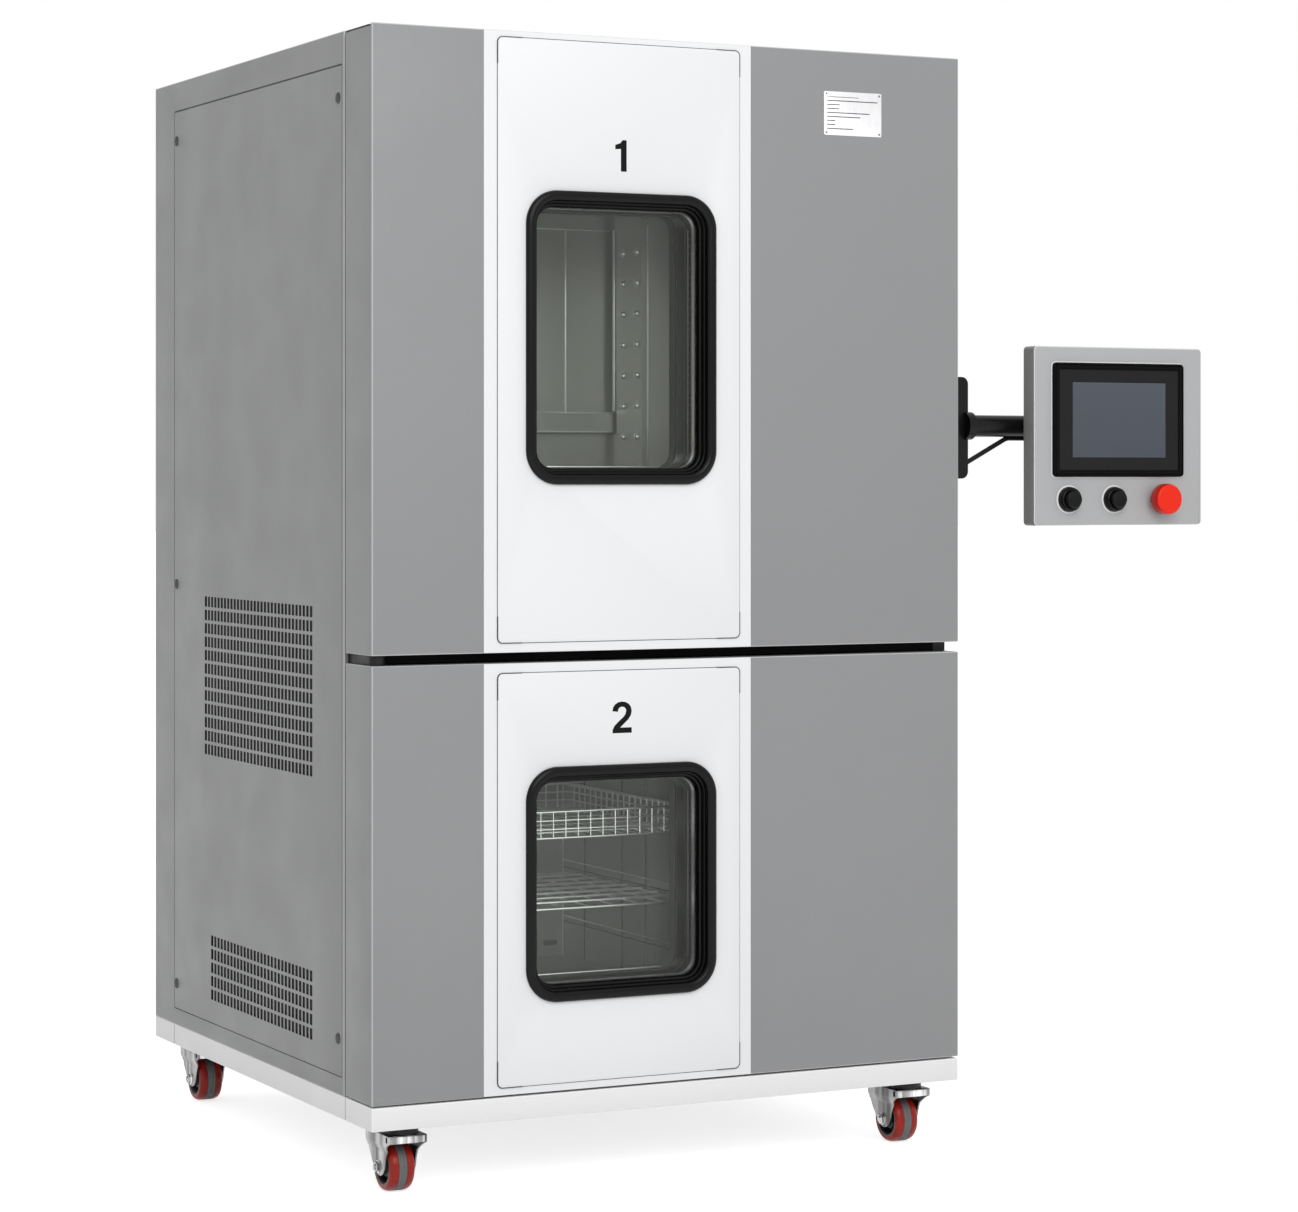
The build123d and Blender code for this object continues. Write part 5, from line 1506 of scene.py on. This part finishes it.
class CHAMBER_OT_arm(bpy.types.Operator):
    """Swing arm and its hinge leaf, with the hinge's bolts"""

    bl_idname = "chamber.arm"
    bl_label = "Swing arm"

    def execute(self, context):
        arm = frame_copy("swing_arm", "pod_arm")
        finished(arm, "arm", "black_paint", stands_for=["swing_arm"], keep_normals=True)
        leaf = frame_copy("arm_hinge_leaf", "fixed_hinge_leaf")
        finished(leaf, "cabinet", "black_paint", stands_for=["arm_hinge_leaf"], keep_normals=True)
        low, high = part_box("arm_hinge_leaf")
        face = at(CABINET_WIDTH + 6, 0, 0).x
        back = high.y - 11 * MM
        place = (face, back, low.z + 20 * MM)
        profile = [(7.5, 0), (7.5, 2.2), (6.6, 3.6), (4.2, 4.4), (3.4, 4.4), (3.2, 2.4), (0.8, 2.3)]
        bolt = turned("hinge_bolt", place, (1, 0, 0), profile, 24)
        rowed(bolt, 4, (0, 0, (high.z - low.z - 40 * MM) / 3))
        finished(joined("hinge_bolts", [bolt]), "cabinet", "black_paint", "screw_steel", angle=40)
        return {"FINISHED"}


# Stage


class CHAMBER_OT_stage(bpy.types.Operator):
    """Pale floor, white background, soft studio light and the photograph's camera"""

    bl_idname = "chamber.stage"
    bl_label = "Stage"

    def execute(self, context):
        stage = context.scene.chamber_stage
        self.floor()
        self.sky(stage.sky_strength)
        self.lamp("front_light", at(-400, -4600, 3700), at(400, 200, 900), 3.6, stage.key_power)
        self.lamp("side_light", at(-4800, -600, 2600), at(0, 500, 900), 3.2, stage.fill_power)
        self.camera()
        context.scene.view_settings.view_transform = "Standard"
        return {"FINISHED"}

    def camera(self):
        """The camera, solved from the cabinet's edges in the photograph."""
        turn = math.radians(-26.534)
        bpy.ops.object.camera_add(location=at(-1933, -4787, 1074), rotation=(math.pi / 2, 0, turn))
        camera = bpy.context.object
        camera.name = "photo_camera"
        camera.data.lens = 96.69
        camera.data.sensor_width = 36
        camera.data.shift_y = -0.0998
        camera.data.clip_end = 100
        bpy.context.scene.camera = camera

    def see_through(self, tree, strength):
        """Light Path rays by which the background shows at this strength."""
        rays = tree.nodes.new("ShaderNodeLightPath")
        total = rays.outputs["Is Camera Ray"]
        for name in ("Is Glossy Ray", "Is Transmission Ray"):
            total = self.maths(tree, "MAXIMUM", total, rays.outputs[name])
        return self.maths(tree, "MULTIPLY", total, strength)

    def maths(self, tree, operation, first, second):
        """An output worked out from another output and either a third one or a number."""
        node = tree.nodes.new("ShaderNodeMath")
        node.operation = operation
        tree.links.new(first, node.inputs[0])
        if isinstance(second, bpy.types.NodeSocket):
            tree.links.new(second, node.inputs[1])
        else:
            node.inputs[1].default_value = second
        return node.outputs[0]

    def floor(self):
        """A pale floor that brightens to white round the object and keeps its shadow."""
        bpy.ops.object.select_all(action="DESELECT")
        bpy.ops.mesh.primitive_plane_add(size=120)
        floor = bpy.context.object
        floor.name = "floor"
        material = bpy.data.materials.new("floor_white")
        material.use_nodes = True
        tree = material.node_tree
        paper = tree.nodes["Principled BSDF"]
        paper.inputs["Base Color"].default_value = (0.8, 0.8, 0.8, 1)
        paper.inputs["Roughness"].default_value = 0.9
        paper.inputs["Specular IOR Level"].default_value = 0.0
        glow = tree.nodes.new("ShaderNodeEmission")
        tree.links.new(self.see_through(tree, 0.7), glow.inputs["Strength"])
        both = tree.nodes.new("ShaderNodeAddShader")
        tree.links.new(paper.outputs[0], both.inputs[0])
        tree.links.new(glow.outputs[0], both.inputs[1])
        tree.links.new(both.outputs[0], tree.nodes["Material Output"].inputs["Surface"])
        floor.data.materials.append(material)

    def sky(self, strength):
        """White all round, and full white where the camera sees it."""
        world = bpy.data.worlds.new("studio")
        bpy.context.scene.world = world
        world.use_nodes = True
        tree = world.node_tree
        even = tree.nodes["Background"]
        even.inputs["Color"].default_value = (1, 1, 1, 1)
        seen = self.see_through(tree, 1.0 - strength)
        tree.links.new(self.maths(tree, "ADD", seen, strength), even.inputs["Strength"])

    def lamp(self, name, place, target, size, power):
        """A large soft square light that faces a point."""
        bpy.ops.object.light_add(type="AREA", location=place)
        lamp = bpy.context.object
        lamp.name = name
        lamp.data.size = size
        lamp.data.energy = power
        lamp.rotation_euler = (Vector(target) - Vector(place)).to_track_quat("-Z", "Y").to_euler()


class CHAMBER_PT_panel(bpy.types.Panel):
    """Sizes, colours and steps of the chamber"""

    bl_idname = "CHAMBER_PT_panel"
    bl_label = "Test chamber"
    bl_space_type = "VIEW_3D"
    bl_region_type = "UI"
    bl_category = "Chamber"

    def draw(self, context):
        layout = self.layout
        scene = context.scene
        for group in (scene.chamber_sizes, scene.chamber_colours, scene.chamber_stage):
            box = layout.box()
            for name in type(group).__annotations__:
                box.prop(group, name)
        for step in STEPS:
            layout.operator(step.bl_idname)


STEPS = (
    CHAMBER_OT_frame_finishes,
    CHAMBER_OT_cabinet,
    CHAMBER_OT_service_panel,
    CHAMBER_OT_panel_screws,
    CHAMBER_OT_doors,
    CHAMBER_OT_window_trims,
    CHAMBER_OT_spacers,
    CHAMBER_OT_panel_lines,
    CHAMBER_OT_zone_numbers,
    CHAMBER_OT_rating_plate,
    CHAMBER_OT_wire_racks,
    CHAMBER_OT_hot_zone_fittings,
    CHAMBER_OT_cold_zone_fittings,
    CHAMBER_OT_arm,
    CHAMBER_OT_pod,
    CHAMBER_OT_buttons,
    CHAMBER_OT_casters,
    CHAMBER_OT_stage,
)
GROUPS = {
    "chamber_sizes": ChamberSizes,
    "chamber_colours": ChamberColours,
    "chamber_stage": ChamberStage,
}


def register():
    """Adds the chamber's settings, steps and panel to Blender."""
    for group in GROUPS.values():
        bpy.utils.register_class(group)
    for name, group in GROUPS.items():
        setattr(bpy.types.Scene, name, bpy.props.PointerProperty(type=group))
    for step in STEPS:
        bpy.utils.register_class(step)
    bpy.utils.register_class(CHAMBER_PT_panel)


def unregister():
    """Takes them out again."""
    bpy.utils.unregister_class(CHAMBER_PT_panel)
    for step in reversed(STEPS):
        bpy.utils.unregister_class(step)
    for name, group in GROUPS.items():
        delattr(bpy.types.Scene, name)
        bpy.utils.unregister_class(group)


def main():
    """Runs every step in order."""
    register()
    for step in STEPS:
        group, name = step.bl_idname.split(".")
        getattr(getattr(bpy.ops, group), name)()


if __name__ == "__main__":
    main()
